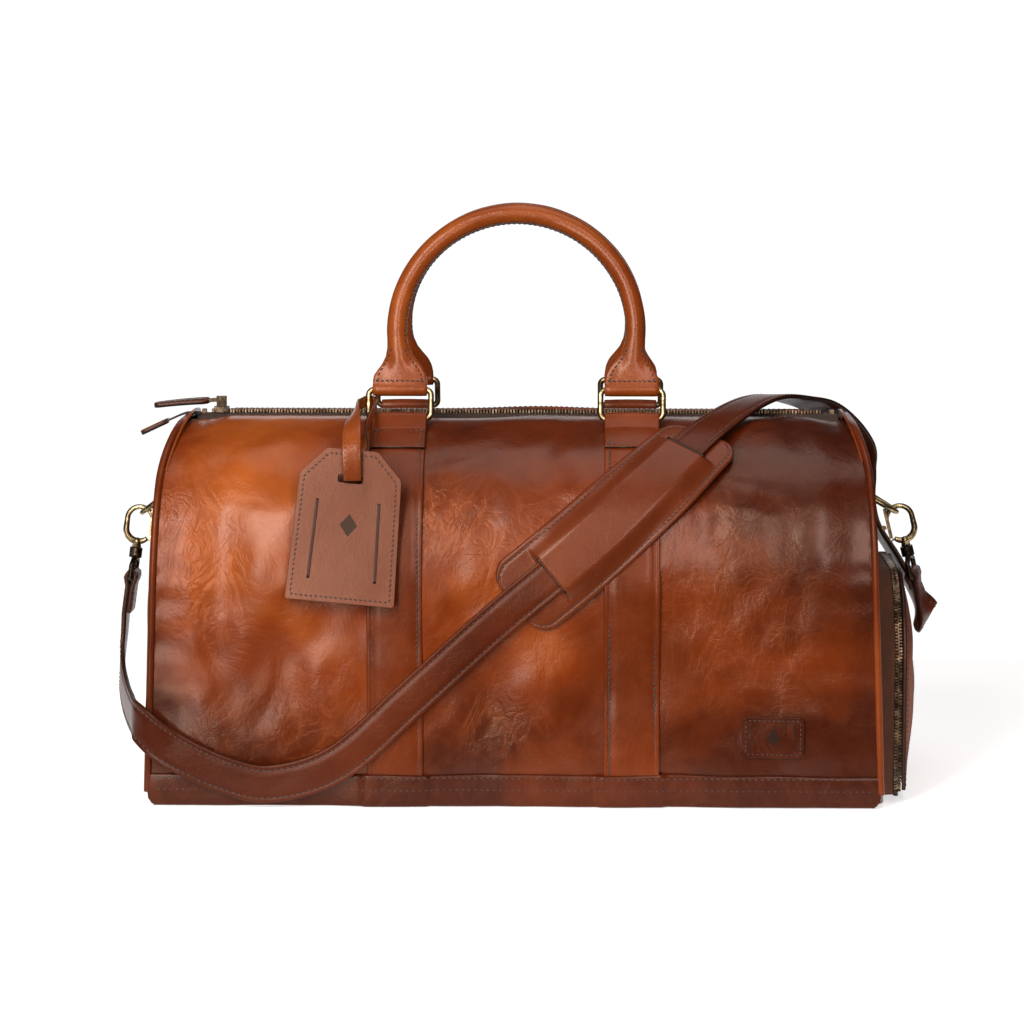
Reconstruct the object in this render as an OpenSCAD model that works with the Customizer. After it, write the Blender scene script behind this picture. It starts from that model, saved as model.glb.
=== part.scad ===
// Leather weekender bag with rolled handles, shoe compartment, shoulder strap and luggage tag.
// X runs along the bag, the front faces -Y, Z is up. The origin is the middle of the base, on the ground.

/* [Body] */
// Length of the bag at its base
bag_l = 490; // [470:5:520]
// Depth of the bag, front to back
bag_d = 238; // [225:1:250]
// Height of the bag at the zip
bag_h = 258; // [250:1:270]
// Height at which the walls start to curve in
arch_z = 150; // [140:1:160]
// Roundness of the arch, 2 is an ellipse
arch_n = 2.15; // [2:0.05:2.6]
// How far each end leans in at the top
end_lean = 10; // [6:1:14]
// How far the top corners are rounded in
corner_in = 9; // [6:1:12]
// Thickness of the body leather
leather_t = 2.4; // [2:0.1:2.6]

/* [Handles] */
// Distance between the two rings of one handle
ring_span = 158; // [150:1:166]
// Radius of the handle's bow, to the middle of the roll
bow_r = 81.5; // [78:0.5:84]
// Radius of the rolled handle
roll_r = 7; // [6:0.5:8]
// Inward lean of the rings and handles at rest
handle_lean = 16; // [14:1:16]
// Distance of the ring pivots from the zip line
ring_y = 49; // [48:1:52]
// Inside width of the rectangular rings
ring_inner = 38.5; // [38:0.5:40]

/* [Zips] */
// Gap between the leather edges at the main zip
zip_gap = 12; // [10:1:14]
// Length of the leather zip pulls
pull_l = 38; // [30:1:42]

/* [Shoe compartment] */
// Half the width of the shoe opening
shoe_w = 96; // [90:1:98]
// Height of the shoe opening
shoe_h = 152; // [140:1:156]
// Length of the shoe pocket inside the bag
shoe_l = 140; // [120:5:180]
// How far the door bulges out
door_bulge = 20; // [12:1:22]

/* [Shoulder strap] */
// Width of the shoulder strap
strap_w = 25; // [22:0.5:26]
// Thickness of the shoulder strap
strap_t = 3; // [2.5:0.1:3.2]
// Width of the shoulder pad
pad_w = 58; // [54:1:60]

/* [Luggage tag] */
// Height of the tag
tag_h = 102; // [98:1:104]
// Thickness of one leather layer of the tag
tag_t = 2.2; // [1.8:0.1:2.4]

/* [Hidden] */

half_d = bag_d / 2;
arch_h = bag_h - arch_z;
base_tuck = 3;
gap = 0.3;
bar_r = 2;
fit = 0.05;
skin_t = 2;
band_off = 0.2;
chape_off = band_off + skin_t + gap;
fine = 48;
arc_steps = 14;
tan_leather = [0.62, 0.30, 0.13];
dark_leather = [0.36, 0.18, 0.12];
brass = [0.60, 0.50, 0.32];
cloth = [0.35, 0.24, 0.17];

// ---- shared outline of the bag ----

// Point [y, z] on the arch at angle a (0 side, 90 top), moved out by off
function arch_pt(a, off) = [
    (half_d + off) * pow(cos(a), 2 / arch_n),
    arch_z + (arch_h + off) * pow(sin(a), 2 / arch_n)
];
// Angle of the arch point that lies y from the zip line
function arch_angle(y) = acos(pow(y / half_d, arch_n / 2));
// Point [y, z] at station t: below 0 down the front wall, 0 to 180 over the arch, past 180 down the back
function station(t, off) =
    t < 0 ? [-wall_y(arch_z + t, off), arch_z + t] :
    t <= 90 ? [-arch_pt(t, off)[0], arch_pt(t, off)[1]] :
    t <= 180 ? arch_pt(180 - t, off) :
    [wall_y(arch_z + 180 - t, off), arch_z + 180 - t];
function wall_y(z, off) = half_d + off - base_tuck * (1 - z / arch_z);
// Length from the middle to the end of the bag at height z
shoulder_z = 215;
function end_x(z) = bag_l / 2 - end_lean * z / bag_h
    - (z > shoulder_z ? corner_in * pow((z - shoulder_z) / (bag_h - shoulder_z), 2) : 0);
// Half outline of a layer between two offsets, from angle a_top down to height z_low
function half_line(off, a_top, z_low) = concat(
    [for (i = [0:arc_steps]) arch_pt(a_top * (1 - i / arc_steps), off)],
    [[wall_y(z_low, off), z_low]]
);
function reversed(list) = [for (i = [len(list) - 1:-1:0]) list[i]];
function half_band(off0, off1, a_top, z_low) =
    concat(half_line(off1, a_top, z_low), reversed(half_line(off0, a_top, z_low)));
function whole_outline(off, z_low) = concat(
    reversed(half_line(off, 90, z_low)),
    [for (p = half_line(off, 90, z_low)) [-p[0], p[1]]]
);

module along_x(x0, x1) {
    translate([x0, 0, 0]) rotate([90, 0, 90]) linear_extrude(x1 - x0) children();
}
module along_y(y0, y1) {
    translate([0, y1, 0]) rotate([90, 0, 0]) linear_extrude(y1 - y0) children();
}
module bar_x(r, l) { rotate([0, 90, 0]) cylinder(r = r, h = l, center = true, $fn = fine); }
module bar_y(r, l) { rotate([90, 0, 0]) cylinder(r = r, h = l, center = true, $fn = fine); }
module to_side(side) { if (side > 0) mirror([0, 1, 0]) children(); else children(); }
module to_end(end) { if (end > 0) mirror([1, 0, 0]) children(); else children(); }

// Prism that trims the panels to the leaning ends
module between_ends(inset) {
    steps = 8;
    zs = concat([-1, 0], [for (i = [0:steps]) shoulder_z + (bag_h + 8 - shoulder_z) * i / steps]);
    along_y(-bag_d, bag_d) polygon(concat(
        [for (z = zs) [end_x(z) - inset, z]],
        reversed([for (z = zs) [-end_x(z) + inset, z]])
    ));
}
module shell(off0, off1, a_top, z_low) {
    intersection() {
        mirror([0, 1, 0]) along_x(-bag_l, bag_l) polygon(half_band(off0, off1, a_top, z_low));
        between_ends(gap);
    }
}
module strip(off0, off1, a_top, z_low, x, w) {
    mirror([0, 1, 0]) along_x(x - w / 2, x + w / 2) polygon(half_band(off0, off1, a_top, z_low));
}

// ---- sweeps ----

function unit(v) = v / norm(v);
// Catmull-Rom points through a list of vectors, k per span
function spline(p, k) = concat(
    [for (i = [0:len(p) - 2], j = [0:k - 1])
        let (t = j / k, a = p[max(i - 1, 0)], b = p[i], c = p[i + 1], d = p[min(i + 2, len(p) - 1)])
        0.5 * (2 * b + (c - a) * t + (2 * a - 5 * b + 4 * c - d) * t * t
            + (3 * b - a - 3 * c + d) * t * t * t)],
    [p[len(p) - 1]]
);
function heading(p, i) = unit(p[min(i + 1, len(p) - 1)] - p[max(i - 1, 0)]);
module skin_rings(rings, closed = false) {
    n = len(rings);
    m = len(rings[0]);
    last = closed ? n - 1 : n - 2;
    sides = [for (i = [0:last], j = [0:m - 1])
        [i * m + j, ((i + 1) % n) * m + j, ((i + 1) % n) * m + (j + 1) % m, i * m + (j + 1) % m]];
    caps = closed ? [] : [[for (j = [0:m - 1]) j], [for (j = [m - 1:-1:0]) (n - 1) * m + j]];
    polyhedron(
        points = [for (r = rings, q = r) q],
        faces = concat([for (f = sides) each [[f[0], f[1], f[2]], [f[0], f[2], f[3]]]], caps)
    );
}
// Flat strip of width w and thickness t along points p, with a face direction at each point.
// It may cover only the points from first to last, and be lifted off the line.
module ribbon(p, n, w, t, lift = 0, closed = false, first = 0, last = undef) {
    skin_rings([for (i = [first:is_undef(last) ? len(p) - 1 : last])
        let (h = heading(p, i), s = unit(cross(h, n[i])), f = cross(s, h))
        [for (c = [[-1, -1], [-1, 1], [1, 1], [1, -1]])
            p[i] + s * c[0] * w / 2 + f * (lift + c[1] * t / 2)]
    ], closed);
}
module cord_tube(p, r) {
    sides = 8;
    skin_rings([for (i = [0:len(p) - 1])
        let (h = heading(p, i), s = [1, 0, 0] - h * h[0], u = unit(s), v = cross(h, u))
        [for (j = [0:sides - 1]) p[i] + r * (u * cos(-360 * j / sides) + v * sin(-360 * j / sides))]
    ]);
}

// ---- body panels ----

wall_off = -leather_t;
mouth_angle = arch_angle(zip_gap / 2);
base_t = 3;
band_h = 22;
panel_foot = base_t + gap;

module body_panel(side) {
    color(tan_leather) to_side(side) shell(wall_off, 0, mouth_angle, panel_foot);
}
module base_panel() {
    color(tan_leather) intersection() {
        translate([-bag_l / 2, -half_d + base_tuck, 0]) cube([bag_l, bag_d - 2 * base_tuck, base_t]);
        between_ends(gap);
    }
}
// Leather band sewn over the bottom edge of the front or back
module base_band(side) {
    color(tan_leather) to_side(side) intersection() {
        shell(chape_off, chape_off + skin_t, mouth_angle, 0.6);
        translate([-bag_l / 2, -bag_d, 0.6]) cube([bag_l, bag_d, band_h]);
    }
}
end_inset = 0.7;
module end_panel(end) {
    steps = 10;
    zs = [for (i = [0:steps]) panel_foot + (bag_h - 5 - panel_foot) * i / steps];
    color(tan_leather) to_end(-end) intersection() {
        along_y(-half_d, half_d) polygon(concat(
            [for (z = zs) [end_x(z) - end_inset, z]],
            reversed([for (z = zs) [end_x(z) - end_inset - leather_t, z]])
        ));
        along_x(0, bag_l) polygon(whole_outline(wall_off - gap, panel_foot));
    }
}
module right_end_panel() {
    difference() {
        end_panel(1);
        color(tan_leather) along_x(bag_l / 2 - 25, bag_l / 2 + 5) polygon(shoe_arch(0.5, 0));
    }
}
// Corded welt round the rim of an end panel
piping_r = 2.4;
// The welt dips where the zip passes over it
piping_dip = 8;
function piping_line() = [for (i = [0:80])
    let (t = -140 + 460 * i / 80, dip = piping_dip * pow(sin(min(180, max(0, t))), 14), q = station(t, 1 - dip))
    [end_x(q[1]) + piping_r + gap, q[0], q[1]]];
module piping(end) {
    color(dark_leather) to_end(-end) cord_tube(piping_line(), piping_r);
}
// Vertical band sewn to the front or back under a handle ring
band_w = 37;
band_top = arch_angle(74);
module vertical_band(side, end) {
    color(tan_leather) to_side(side)
        strip(band_off, band_off + skin_t, band_top, panel_foot, end * ring_span / 2, band_w);
}

// ---- rings and handles ----

ring_lift = 5.7;
function ring_pivot() = let (q = arch_pt(arch_angle(ring_y), 0)) [-ring_y - ring_lift * 0.33, q[1] + ring_lift * 0.94];
ring_h = 20;
ring_corner = 4;
sleeve_r = 4.3;
// Bore of a leather sleeve round a ring bar, wider at its ends where the bar turns
module sleeve_bore() {
    bar_x(bar_r + fit, band_w + 2);
    for (s = [-1, 1]) translate([s * band_w / 2, 0, 0]) bar_x(bar_r + 1, 5.2);
}
// Puts children, drawn round the lower ring bar, at the ring's place and lean
module at_ring(side) {
    to_side(side) translate([0, ring_pivot()[0], ring_pivot()[1]]) rotate([-handle_lean, 0, 0]) children();
}
// Leather loop round the lower bar with a tab sewn to the bag
module chape(side, end) {
    q = ring_pivot();
    x = end * ring_span / 2;
    color(tan_leather) to_side(side) difference() {
        union() {
            translate([x, q[0], q[1]]) bar_x(sleeve_r, band_w);
            strip(chape_off, chape_off + skin_t, arch_angle(ring_y - 2), arch_z, x, band_w);
        }
        translate([x, q[0], q[1]]) sleeve_bore();
        translate([x - band_w, -bag_d, 0]) cube([2 * band_w, bag_d - 77, bag_h]);
    }
}
module ring(side, end) {
    half = ring_inner / 2 + bar_r;
    color(brass) at_ring(side) translate([end * ring_span / 2, 0, 0]) {
        for (z = [0, ring_h]) translate([0, 0, z]) bar_x(bar_r, 2 * (half - ring_corner));
        for (s = [-1, 1]) {
            translate([s * half, 0, ring_corner]) cylinder(r = bar_r, h = ring_h - 2 * ring_corner, $fn = fine);
            for (z = [0, 1]) mirror([s < 0 ? 1 : 0, 0, 0])
                translate([half - ring_corner, 0, z == 0 ? ring_corner : ring_h - ring_corner])
                    rotate([90, 0, 0]) rotate([0, 0, z == 0 ? -90 : 0])
                        rotate_extrude(angle = 90, $fn = fine) translate([ring_corner, 0]) circle(bar_r, $fn = 24);
        }
    }
}
// Height of the bow's centre above the lower ring bar
bow_z = 61.5;
core_r = roll_r - skin_t;
module bow(r0, r1) {
    rotate([90, 0, 0]) rotate_extrude(angle = 180, $fn = 96)
        translate([bow_r, 0]) difference() {
            circle(r1, $fn = 32);
            if (r0 > 0) circle(r0, $fn = 32);
        }
}
module handle(side) {
    flap_z = ring_h + sleeve_r;
    color(tan_leather) at_ring(side) {
        translate([0, 0, bow_z]) bow(core_r + gap / 3, roll_r);
        for (end = [-1, 1]) {
            difference() {
                translate([end * ring_span / 2, 0, ring_h]) bar_x(sleeve_r, band_w);
                translate([end * ring_span / 2, 0, ring_h]) sleeve_bore();
            }
            hull() {
                translate([end * bow_r, 0, bow_z - 1]) cylinder(r = roll_r, h = 1, $fn = 32);
                translate([end * ring_span / 2 - band_w / 2, -3, flap_z - 1.2]) cube([band_w, 6, 6]);
            }
        }
    }
}
module handle_core(side) {
    color("peru") at_ring(side) translate([0, 0, bow_z]) bow(0, core_r);
}

// ---- main zip ----

tape_z = bag_h - leather_t - 1.8;
teeth_h = 2.6;
zip_half = bag_l / 2 - end_lean - corner_in - 4;
slider_x = -206;
hinge_z = bag_h + 6;
module zip_tapes() {
    for (side = [-1, 1]) color(dark_leather) to_side(side)
        translate([-zip_half, -13, tape_z]) cube([2 * zip_half, 12.2, 1]);
}
module zip_teeth() {
    for (side = [-1, 1]) color(brass) to_side(side)
        translate([-zip_half + 8, -2.9, tape_z + 1]) cube([2 * zip_half - 16, 2.8, teeth_h]);
}
module zip_stops() {
    for (end = [-1, 1], side = [-1, 1]) color(brass) to_side(side)
        translate([end * (zip_half - 4) - 1.5, -2.9, tape_z + 1]) cube([3, 2.8, teeth_h]);
}
module zip_slider() {
    z0 = tape_z + 1.3;
    top = tape_z + 1 + teeth_h + gap;
    color(brass) translate([slider_x, 0, 0]) difference() {
        union() {
            translate([-5, -4.6, z0]) cube([10, 9.2, top + 1.4 - z0]);
            translate([-3.5, -1.2, top]) cube([7, 2.4, hinge_z + 2.4 - top]);
        }
        translate([-6, -3.2, z0 - 1]) cube([12, 6.4, top - z0 + 1]);
        translate([0, 0, hinge_z]) bar_y(1.25 + fit, 4);
    }
}
// Angle below level at which the pull lies over the end of the bag
pull_droop = 5;
link_l = 9;
module at_pull() {
    translate([slider_x, 0, hinge_z]) rotate([0, -pull_droop, 0]) children();
}
module zip_pull_link() {
    color(brass) at_pull() {
        bar_y(1.25, 5);
        for (s = [-1, 1]) translate([-link_l + 2.5, s * 2.05 - 0.65, -1.25]) cube([link_l - 2.5, 1.3, 2.5]);
        translate([-link_l, -2.7, -1.25]) cube([3, 5.4, 2.5]);
    }
}
module zip_pull() {
    color(dark_leather) at_pull() translate([-link_l - pull_l, -6, -1.4]) cube([pull_l, 12, 2.8]);
}
// End of the zip tape, left hanging over the left end of the bag in a folded leather cap
tail_w = 15;
tail_line = [[-222.3, 254.3], [-232, 254.3], [-240, 250.8], [-245.8, 248.1], [-262, 240.5]];
module tail_strip(first, last, t) {
    points = [for (i = [first:last]) [tail_line[i][0], 0, tail_line[i][1]]];
    ribbon(points, [for (p = points) [0, 0, 1]], tail_w, t);
}
module zip_tail() { color(dark_leather) tail_strip(0, 3, 1); }
module zip_tail_cap() { color(dark_leather) translate([-0.3, 0, 0]) tail_strip(3, 4, 3); }

// ---- inside ----

module base_board() {
    color("burlywood") translate([-bag_l / 2 + 12, -half_d + 14, base_t + gap])
        cube([bag_l - 24, bag_d - 28, 2.4]);
}
lining_off = -leather_t - 2.4;
lining_x = bag_l / 2 - 11 - shoe_l - 2;
module lining() {
    outer = whole_outline(lining_off, 6.5);
    inner = whole_outline(lining_off - 1, 7.5);
    left = -bag_l / 2 + 21;
    color(cloth) difference() {
        along_x(left, lining_x) polygon(outer);
        along_x(left + 1, lining_x - 1) polygon(inner);
        translate([-bag_l / 2, -14, bag_h - 20]) cube([bag_l, 28, 30]);
    }
}
function shoe_arch(off, z0) = let (r = 60) concat(
    [[shoe_w + off, z0]],
    [for (i = [0:8]) [shoe_w - r + (r + off) * cos(90 * i / 8), shoe_h - r + (r + off) * sin(90 * i / 8)]],
    [for (i = [8:-1:0]) [-shoe_w + r - (r + off) * cos(90 * i / 8), shoe_h - r + (r + off) * sin(90 * i / 8)]],
    [[-shoe_w - off, z0]]
);
module shoe_ring(off0, off1, x0, x1, z0) {
    along_x(x0, x1) difference() {
        polygon(shoe_arch(off1, z0));
        polygon(shoe_arch(off0, z0 - 5));
    }
}
// Cloth tunnel behind the shoe door, open at the end of the bag
module shoe_pocket() {
    x1 = bag_l / 2 - 11;
    half = shoe_w - 3;
    top = shoe_h - 5;
    color(cloth) difference() {
        translate([x1 - shoe_l, -half, 6.5]) cube([shoe_l, 2 * half, top - 6.5]);
        translate([x1 - shoe_l + 1, -half + 1, 7.5]) cube([shoe_l, 2 * half - 2, top - 8.5]);
    }
}

// ---- shoe compartment ----

shoe_x = bag_l / 2 + 0.5;
teeth_x = shoe_x + 10;
door_x = teeth_x + 6;
hinge_foot = 6;
module shoe_zip_tape() {
    color(dark_leather) shoe_ring(-0.5, 0.5, shoe_x - 8, teeth_x, hinge_foot);
}
module shoe_zip_teeth() {
    color(brass) shoe_ring(-1.5, 1.5, teeth_x + 0.3, teeth_x + 2.6, hinge_foot);
}
module shoe_door_teeth() {
    color(brass) shoe_ring(-1.5, 1.5, teeth_x + 2.9, teeth_x + 5.2, hinge_foot + 2);
}
function door_half(z) = let (r = 60, up = z - (shoe_h - r))
    up < 0 ? shoe_w : shoe_w - r + sqrt(max(0, r * r - up * up));
function door_swell(v) = (1 - pow(v, 1.2)) * (0.2 + 1.6 * v) * door_bulge;
function door_pt(u, v, x) = let (z = hinge_foot + 3 + (shoe_h - hinge_foot - 3) * v)
    [x + door_swell(v) * (1 - pow(abs(u), 2.4)), u * door_half(z), z];
module shoe_door() {
    nu = 14;
    nv = 12;
    color(tan_leather) skin_rings([for (j = [0:nv]) concat(
        [for (i = [0:nu]) door_pt(1 - 2 * i / nu, j / nv, door_x)],
        [for (i = [nu:-1:0]) door_pt(1 - 2 * i / nu, j / nv, door_x + leather_t)]
    )]);
}
shoe_slider_z = 22;
module shoe_slider() {
    y = shoe_w + 1.5 + gap;
    color(brass) difference() {
        union() {
            translate([teeth_x, y, shoe_slider_z - 5]) cube([5.4, 1.4, 10]);
            translate([teeth_x + 1.5, y, shoe_slider_z - 3.5]) cube([2.4, 4.6, 7]);
        }
        translate([teeth_x + 2.7, y + 3, shoe_slider_z]) bar_x(1 + fit, 6);
    }
}
module shoe_pull() {
    y = shoe_w + 4.5 + gap;
    color(dark_leather) translate([teeth_x + 2.7, y, shoe_slider_z]) {
        bar_x(1, 5);
        for (s = [-1, 1]) translate([s * 2.2 - 0.6, -1, -5.5]) cube([1.2, 2, 5.5]);
        translate([-2.8, -1, -15]) cube([5.6, 2, 10]);
    }
}

// ---- strap hardware on each end ----

tab_z = 199;
tab_w = 25;
pivot_x = end_x(tab_z) + 6;
clip_tilt = [8, 14];
module ring_tab(end) {
    color(tan_leather) to_end(-end) {
        difference() {
            translate([pivot_x, 0, tab_z]) bar_y(sleeve_r, tab_w);
            translate([pivot_x, 0, tab_z]) bar_y(bar_r + fit, tab_w + 2);
            translate([pivot_x - 12, -tab_w, tab_z - 6]) cube([8, 2 * tab_w, 12]);
        }
        translate([end_x(tab_z) + gap, -tab_w / 2, tab_z - 4]) cube([1.6, tab_w, 24]);
    }
}
// Puts children, drawn round the D-ring's straight bar, at an end of the bag
module at_clip(end, k) {
    to_end(-end) translate([pivot_x, 0, tab_z]) rotate([0, -clip_tilt[k], 0]) children();
}
d_wire = 1.7;
d_half = 14.2;
d_drop = 24;
module d_ring(end, k) {
    color(brass) at_clip(end, k) rotate([0, -45, 0]) {
        bar_y(bar_r, 2 * d_half);
        for (s = [-1, 1]) translate([0, s * d_half, -d_drop + d_half])
            cylinder(r = d_wire, h = d_drop - d_half + bar_r, $fn = fine);
        translate([0, 0, -d_drop + d_half]) rotate([0, 90, 0]) rotate([0, 0, -90])
            rotate_extrude(angle = 180, $fn = 64) translate([d_half, 0]) circle(d_wire, $fn = 24);
    }
}
hook_x = 18;
hook_top = -15 - 7;
hook_low = -29;
gate_pin = [6.8 + 1.9, hook_low - 6.2];
module at_hook(end, k) { at_clip(end, k) translate([hook_x, 0, 0]) children(); }
module oblong(r, y0, y1) {
    translate([0, y0]) circle(r, $fn = 32);
    translate([0, y1]) circle(r, $fn = 32);
    translate([-r, y0]) square([2 * r, y1 - y0]);
}
module hook(end, k) {
    x = -gate_pin[0];
    color(brass) at_hook(end, k) {
        difference() {
            along_y(-2.2, 2.2) difference() {
                oblong(10.5, hook_low - 1.5, hook_top);
                oblong(7, hook_low, hook_top);
                translate([-11, hook_low - 5.5]) square([7.2, 24]);
            }
            translate([-11, -1.5, hook_low - 9]) cube([5.6, 3, 6]);
        }
        translate([x, 0, gate_pin[1]]) bar_y(0.7, 3.2);
        translate([0, 0, hook_low - 20.5]) cylinder(r = 1.5, h = 9, $fn = fine);
        translate([0, 0, hook_low - 21.5]) cylinder(r = 2.2, h = 1.2, $fn = fine);
    }
}
module gate(end, k) {
    x = -gate_pin[0];
    color(brass) at_hook(end, k) difference() {
        union() {
            translate([x, 0, gate_pin[1]]) bar_y(1.4, 2.8);
            translate([x - 1.2, -1.4, gate_pin[1]]) cube([2.4, 2.8, 22]);
            translate([x - 3.2, 0, gate_pin[1] + 9]) bar_y(1.6, 2.8);
        }
        translate([x, 0, gate_pin[1]]) bar_y(0.7 + fit, 4);
    }
}
eye_z = -62;
// How far each eye, with its strap end, is turned on the hook's swivel
eye_turn = [0, -12];
module eye(end, k) {
    collar = hook_low - 20;
    color(brass) at_hook(end, k) rotate([0, 0, eye_turn[k]]) {
        difference() {
            translate([0, 0, collar]) cylinder(r = 4.4, h = 6.8, $fn = fine);
            translate([0, 0, collar - 1]) cylinder(r = 1.5 + fit, h = 9, $fn = fine);
        }
        for (s = [-1, 1]) {
            translate([0, s * 14.5, eye_z]) sphere(r = 1.8, $fn = fine);
            translate([0, s * 14.5, eye_z]) cylinder(r = 1.8, h = 9, $fn = fine);
            translate([0, s * 14.5, eye_z + 9]) sphere(r = 1.8, $fn = fine);
            translate([0, s * 14.5, eye_z + 9]) rotate([s * 69, 0, 0]) cylinder(r = 1.8, h = 12, $fn = fine);
        }
        translate([0, 0, eye_z]) bar_y(1.8, 29);
    }
}
// End of the strap folded back round the eye
leaf_low = [-88, -72];
module strap_end(end, k) {
    color(dark_leather) at_hook(end, k) rotate([0, 0, eye_turn[k]]) difference() {
        union() {
            translate([0, 0, eye_z]) bar_y(1.85 + 2.6, strap_w);
            translate([-3, -strap_w / 2, leaf_low[k]]) cube([6, strap_w, eye_z - leaf_low[k]]);
        }
        translate([0, 0, eye_z]) bar_y(1.8 + fit, strap_w + 2);
    }
}

// ---- shoulder strap ----

strap_off = 7.7;
// Strap line from the left clip to the front corner: place, then facing direction
left_run = [
    [-275, 0, 106, -1, 0, 0], [-277, -3, 88, -1, -0.1, 0], [-275, -22, 72, -1, -0.3, 0],
    [-268, -56, 64, -0.9, -0.5, 0], [-259, -94, 60, -0.8, -0.6, 0], [-250, -122, 57, -0.6, -0.8, 0]
];
// Strap line round the bag: place along X, then station round the outline
bag_run = [
    [-229, -110], [-194, -127], [-160, -133], [-116, -118], [-68, -75], [-12, -23.5], [40, 9],
    [88, 32], [129, 58], [168, 88], [199, 108], [222, 122]
];
// Strap line from the back corner to the right clip: place, then facing direction
right_run = [
    [246, 98, 226, 0.7, 0.7, 0.3], [249, 103, 205, 0.8, 0.6, 0.1], [252, 100, 184, 0.9, 0.4, 0.2],
    [259, 84, 163, 0.8, 0.3, 0.5], [271, 58, 143, 0.85, 0.2, 0.4], [281, 34, 124, 0.9, 0.1, 0.2],
    [286, 18, 113, 0.8, 0, -0.5], [286.5, 7, 112, 0.85, -0.2, -0.4], [284, 1, 121, 0.97, -0.22, 0]
];
function facing(t) = let (a = station(t, 0), b = station(t + 1, 0)) unit([0, a[1] - b[1], b[0] - a[0]]);
function on_bag(x, t) = let (q = station(t, strap_off), f = facing(t)) [x, q[0], q[1], f[0], f[1], f[2]];
strap_line = spline(concat(left_run, [for (p = bag_run) on_bag(p[0], p[1])], right_run), 4);
function place(p) = [for (q = p) [q[0], q[1], q[2]]];
function face_of(p) = [for (q = p) [q[3], q[4], q[5]]];
module shoulder_strap() {
    color(dark_leather) ribbon(place(strap_line), face_of(strap_line), strap_w, strap_t);
}
// Points of the strap line that the pad covers
pad_points = [45, 56];
pad_t = 3;
pad_lift = strap_t / 2 + 2 + pad_t / 2;
module shoulder_pad() {
    color(dark_leather)
        ribbon(place(strap_line), face_of(strap_line), pad_w, pad_t, pad_lift, false, pad_points[0], pad_points[1]);
}

// ---- luggage tag ----

tag_top = [-106, 241];
tag_top_y = -120;
tag_tilt = 5;
tag_lean = 7;
module at_tag() {
    translate([tag_top[0], tag_top_y, tag_top[1]]) rotate([-tag_lean, 0, 0]) rotate([0, tag_tilt, 0]) children();
}
module tag_outline() {
    difference() {
        polygon([[-17, 0], [17, 0], [34, -18], [36.5, -tag_h], [-36.5, -tag_h], [-34, -18]]);
        translate([-8, -22]) square([16, 5]);
    }
}
module luggage_tag() {
    color(dark_leather) at_tag() for (s = [0, 1])
        translate([0, s * (tag_t + 0.1), 0]) along_y(0, tag_t) tag_outline();
}
// Strap of the tag: from the slot up the front, round the side bar of the ring and down behind the tag
tag_loop = [
    [-106, -125.4, 221], [-106.6, -125.4, 240], [-107, -112, 256], [-107, -84, 264], [-106.8, -62, 265.5],
    [-105.2, -49, 265.5], [-100.3, -42.6, 267], [-95.4, -49, 265.5], [-96, -60, 262.5],
    [-98.6, -76, 256], [-102, -92, 246], [-104.6, -107, 234], [-105.6, -115, 222.5]
];
tag_facing = [
    [0, -1, 0], [0, -1, 0.2], [-0.3, -0.6, 0.8], [-0.8, -0.1, 0.5], [-1, 0, 0.1],
    [-1, 0.2, 0], [0, 1, 0], [1, 0.2, 0], [1, 0, 0],
    [0.9, 0.1, 0], [0.4, 0.9, 0.4], [0, 1, 0.4], [0, 1, 0.2]
];
module tag_strap() {
    line = spline([for (i = [0:len(tag_loop) - 1]) concat(tag_loop[i], tag_facing[i])], 3);
    color(dark_leather) ribbon(place(line), face_of(line), 7, 1.6);
}
// Small leather patch low on the front
patch_x = [152.5, 194];
patch_z = [35, 63];
module maker_patch() {
    color(dark_leather) intersection() {
        mirror([0, 1, 0]) along_x(patch_x[0], patch_x[1])
            polygon(half_band(band_off, band_off + skin_t, 1, panel_foot));
        translate([0, -bag_d, patch_z[0]]) cube([bag_l, bag_d, patch_z[1] - patch_z[0]]);
    }
}

body_panel(-1);  // front_panel
body_panel(1);  // back_panel
base_panel();
base_band(-1);  // front_base_band
base_band(1);  // back_base_band
end_panel(-1);  // left_end_panel
right_end_panel();
piping(-1);  // left_piping
piping(1);  // right_piping
vertical_band(-1, -1);  // front_left_band
vertical_band(-1, 1);  // front_right_band
vertical_band(1, -1);  // back_left_band
vertical_band(1, 1);  // back_right_band
chape(-1, -1);  // front_left_chape
chape(-1, 1);  // front_right_chape
chape(1, -1);  // back_left_chape
chape(1, 1);  // back_right_chape
ring(-1, -1);  // front_left_ring
ring(-1, 1);  // front_right_ring
ring(1, -1);  // back_left_ring
ring(1, 1);  // back_right_ring
handle(-1);  // front_handle
handle(1);  // back_handle
handle_core(-1);  // front_handle_core
handle_core(1);  // back_handle_core
zip_tapes();
zip_teeth();
zip_stops();
zip_tail();
zip_tail_cap();
zip_slider();
zip_pull_link();
zip_pull();
base_board();
lining();
shoe_pocket();
shoe_zip_tape();
shoe_zip_teeth();
shoe_door();
shoe_door_teeth();
shoe_slider();
shoe_pull();
ring_tab(-1);  // left_ring_tab
ring_tab(1);  // right_ring_tab
d_ring(-1, 0);  // left_d_ring
d_ring(1, 1);  // right_d_ring
hook(-1, 0);  // left_hook
hook(1, 1);  // right_hook
gate(-1, 0);  // left_gate
gate(1, 1);  // right_gate
eye(-1, 0);  // left_eye
eye(1, 1);  // right_eye
strap_end(-1, 0);  // left_strap_end
strap_end(1, 1);  // right_strap_end
shoulder_strap();
shoulder_pad();
luggage_tag();
tag_strap();
maker_patch();
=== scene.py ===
"""Leather weekender bag: the visual model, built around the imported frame. Units are metres."""
import math

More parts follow.
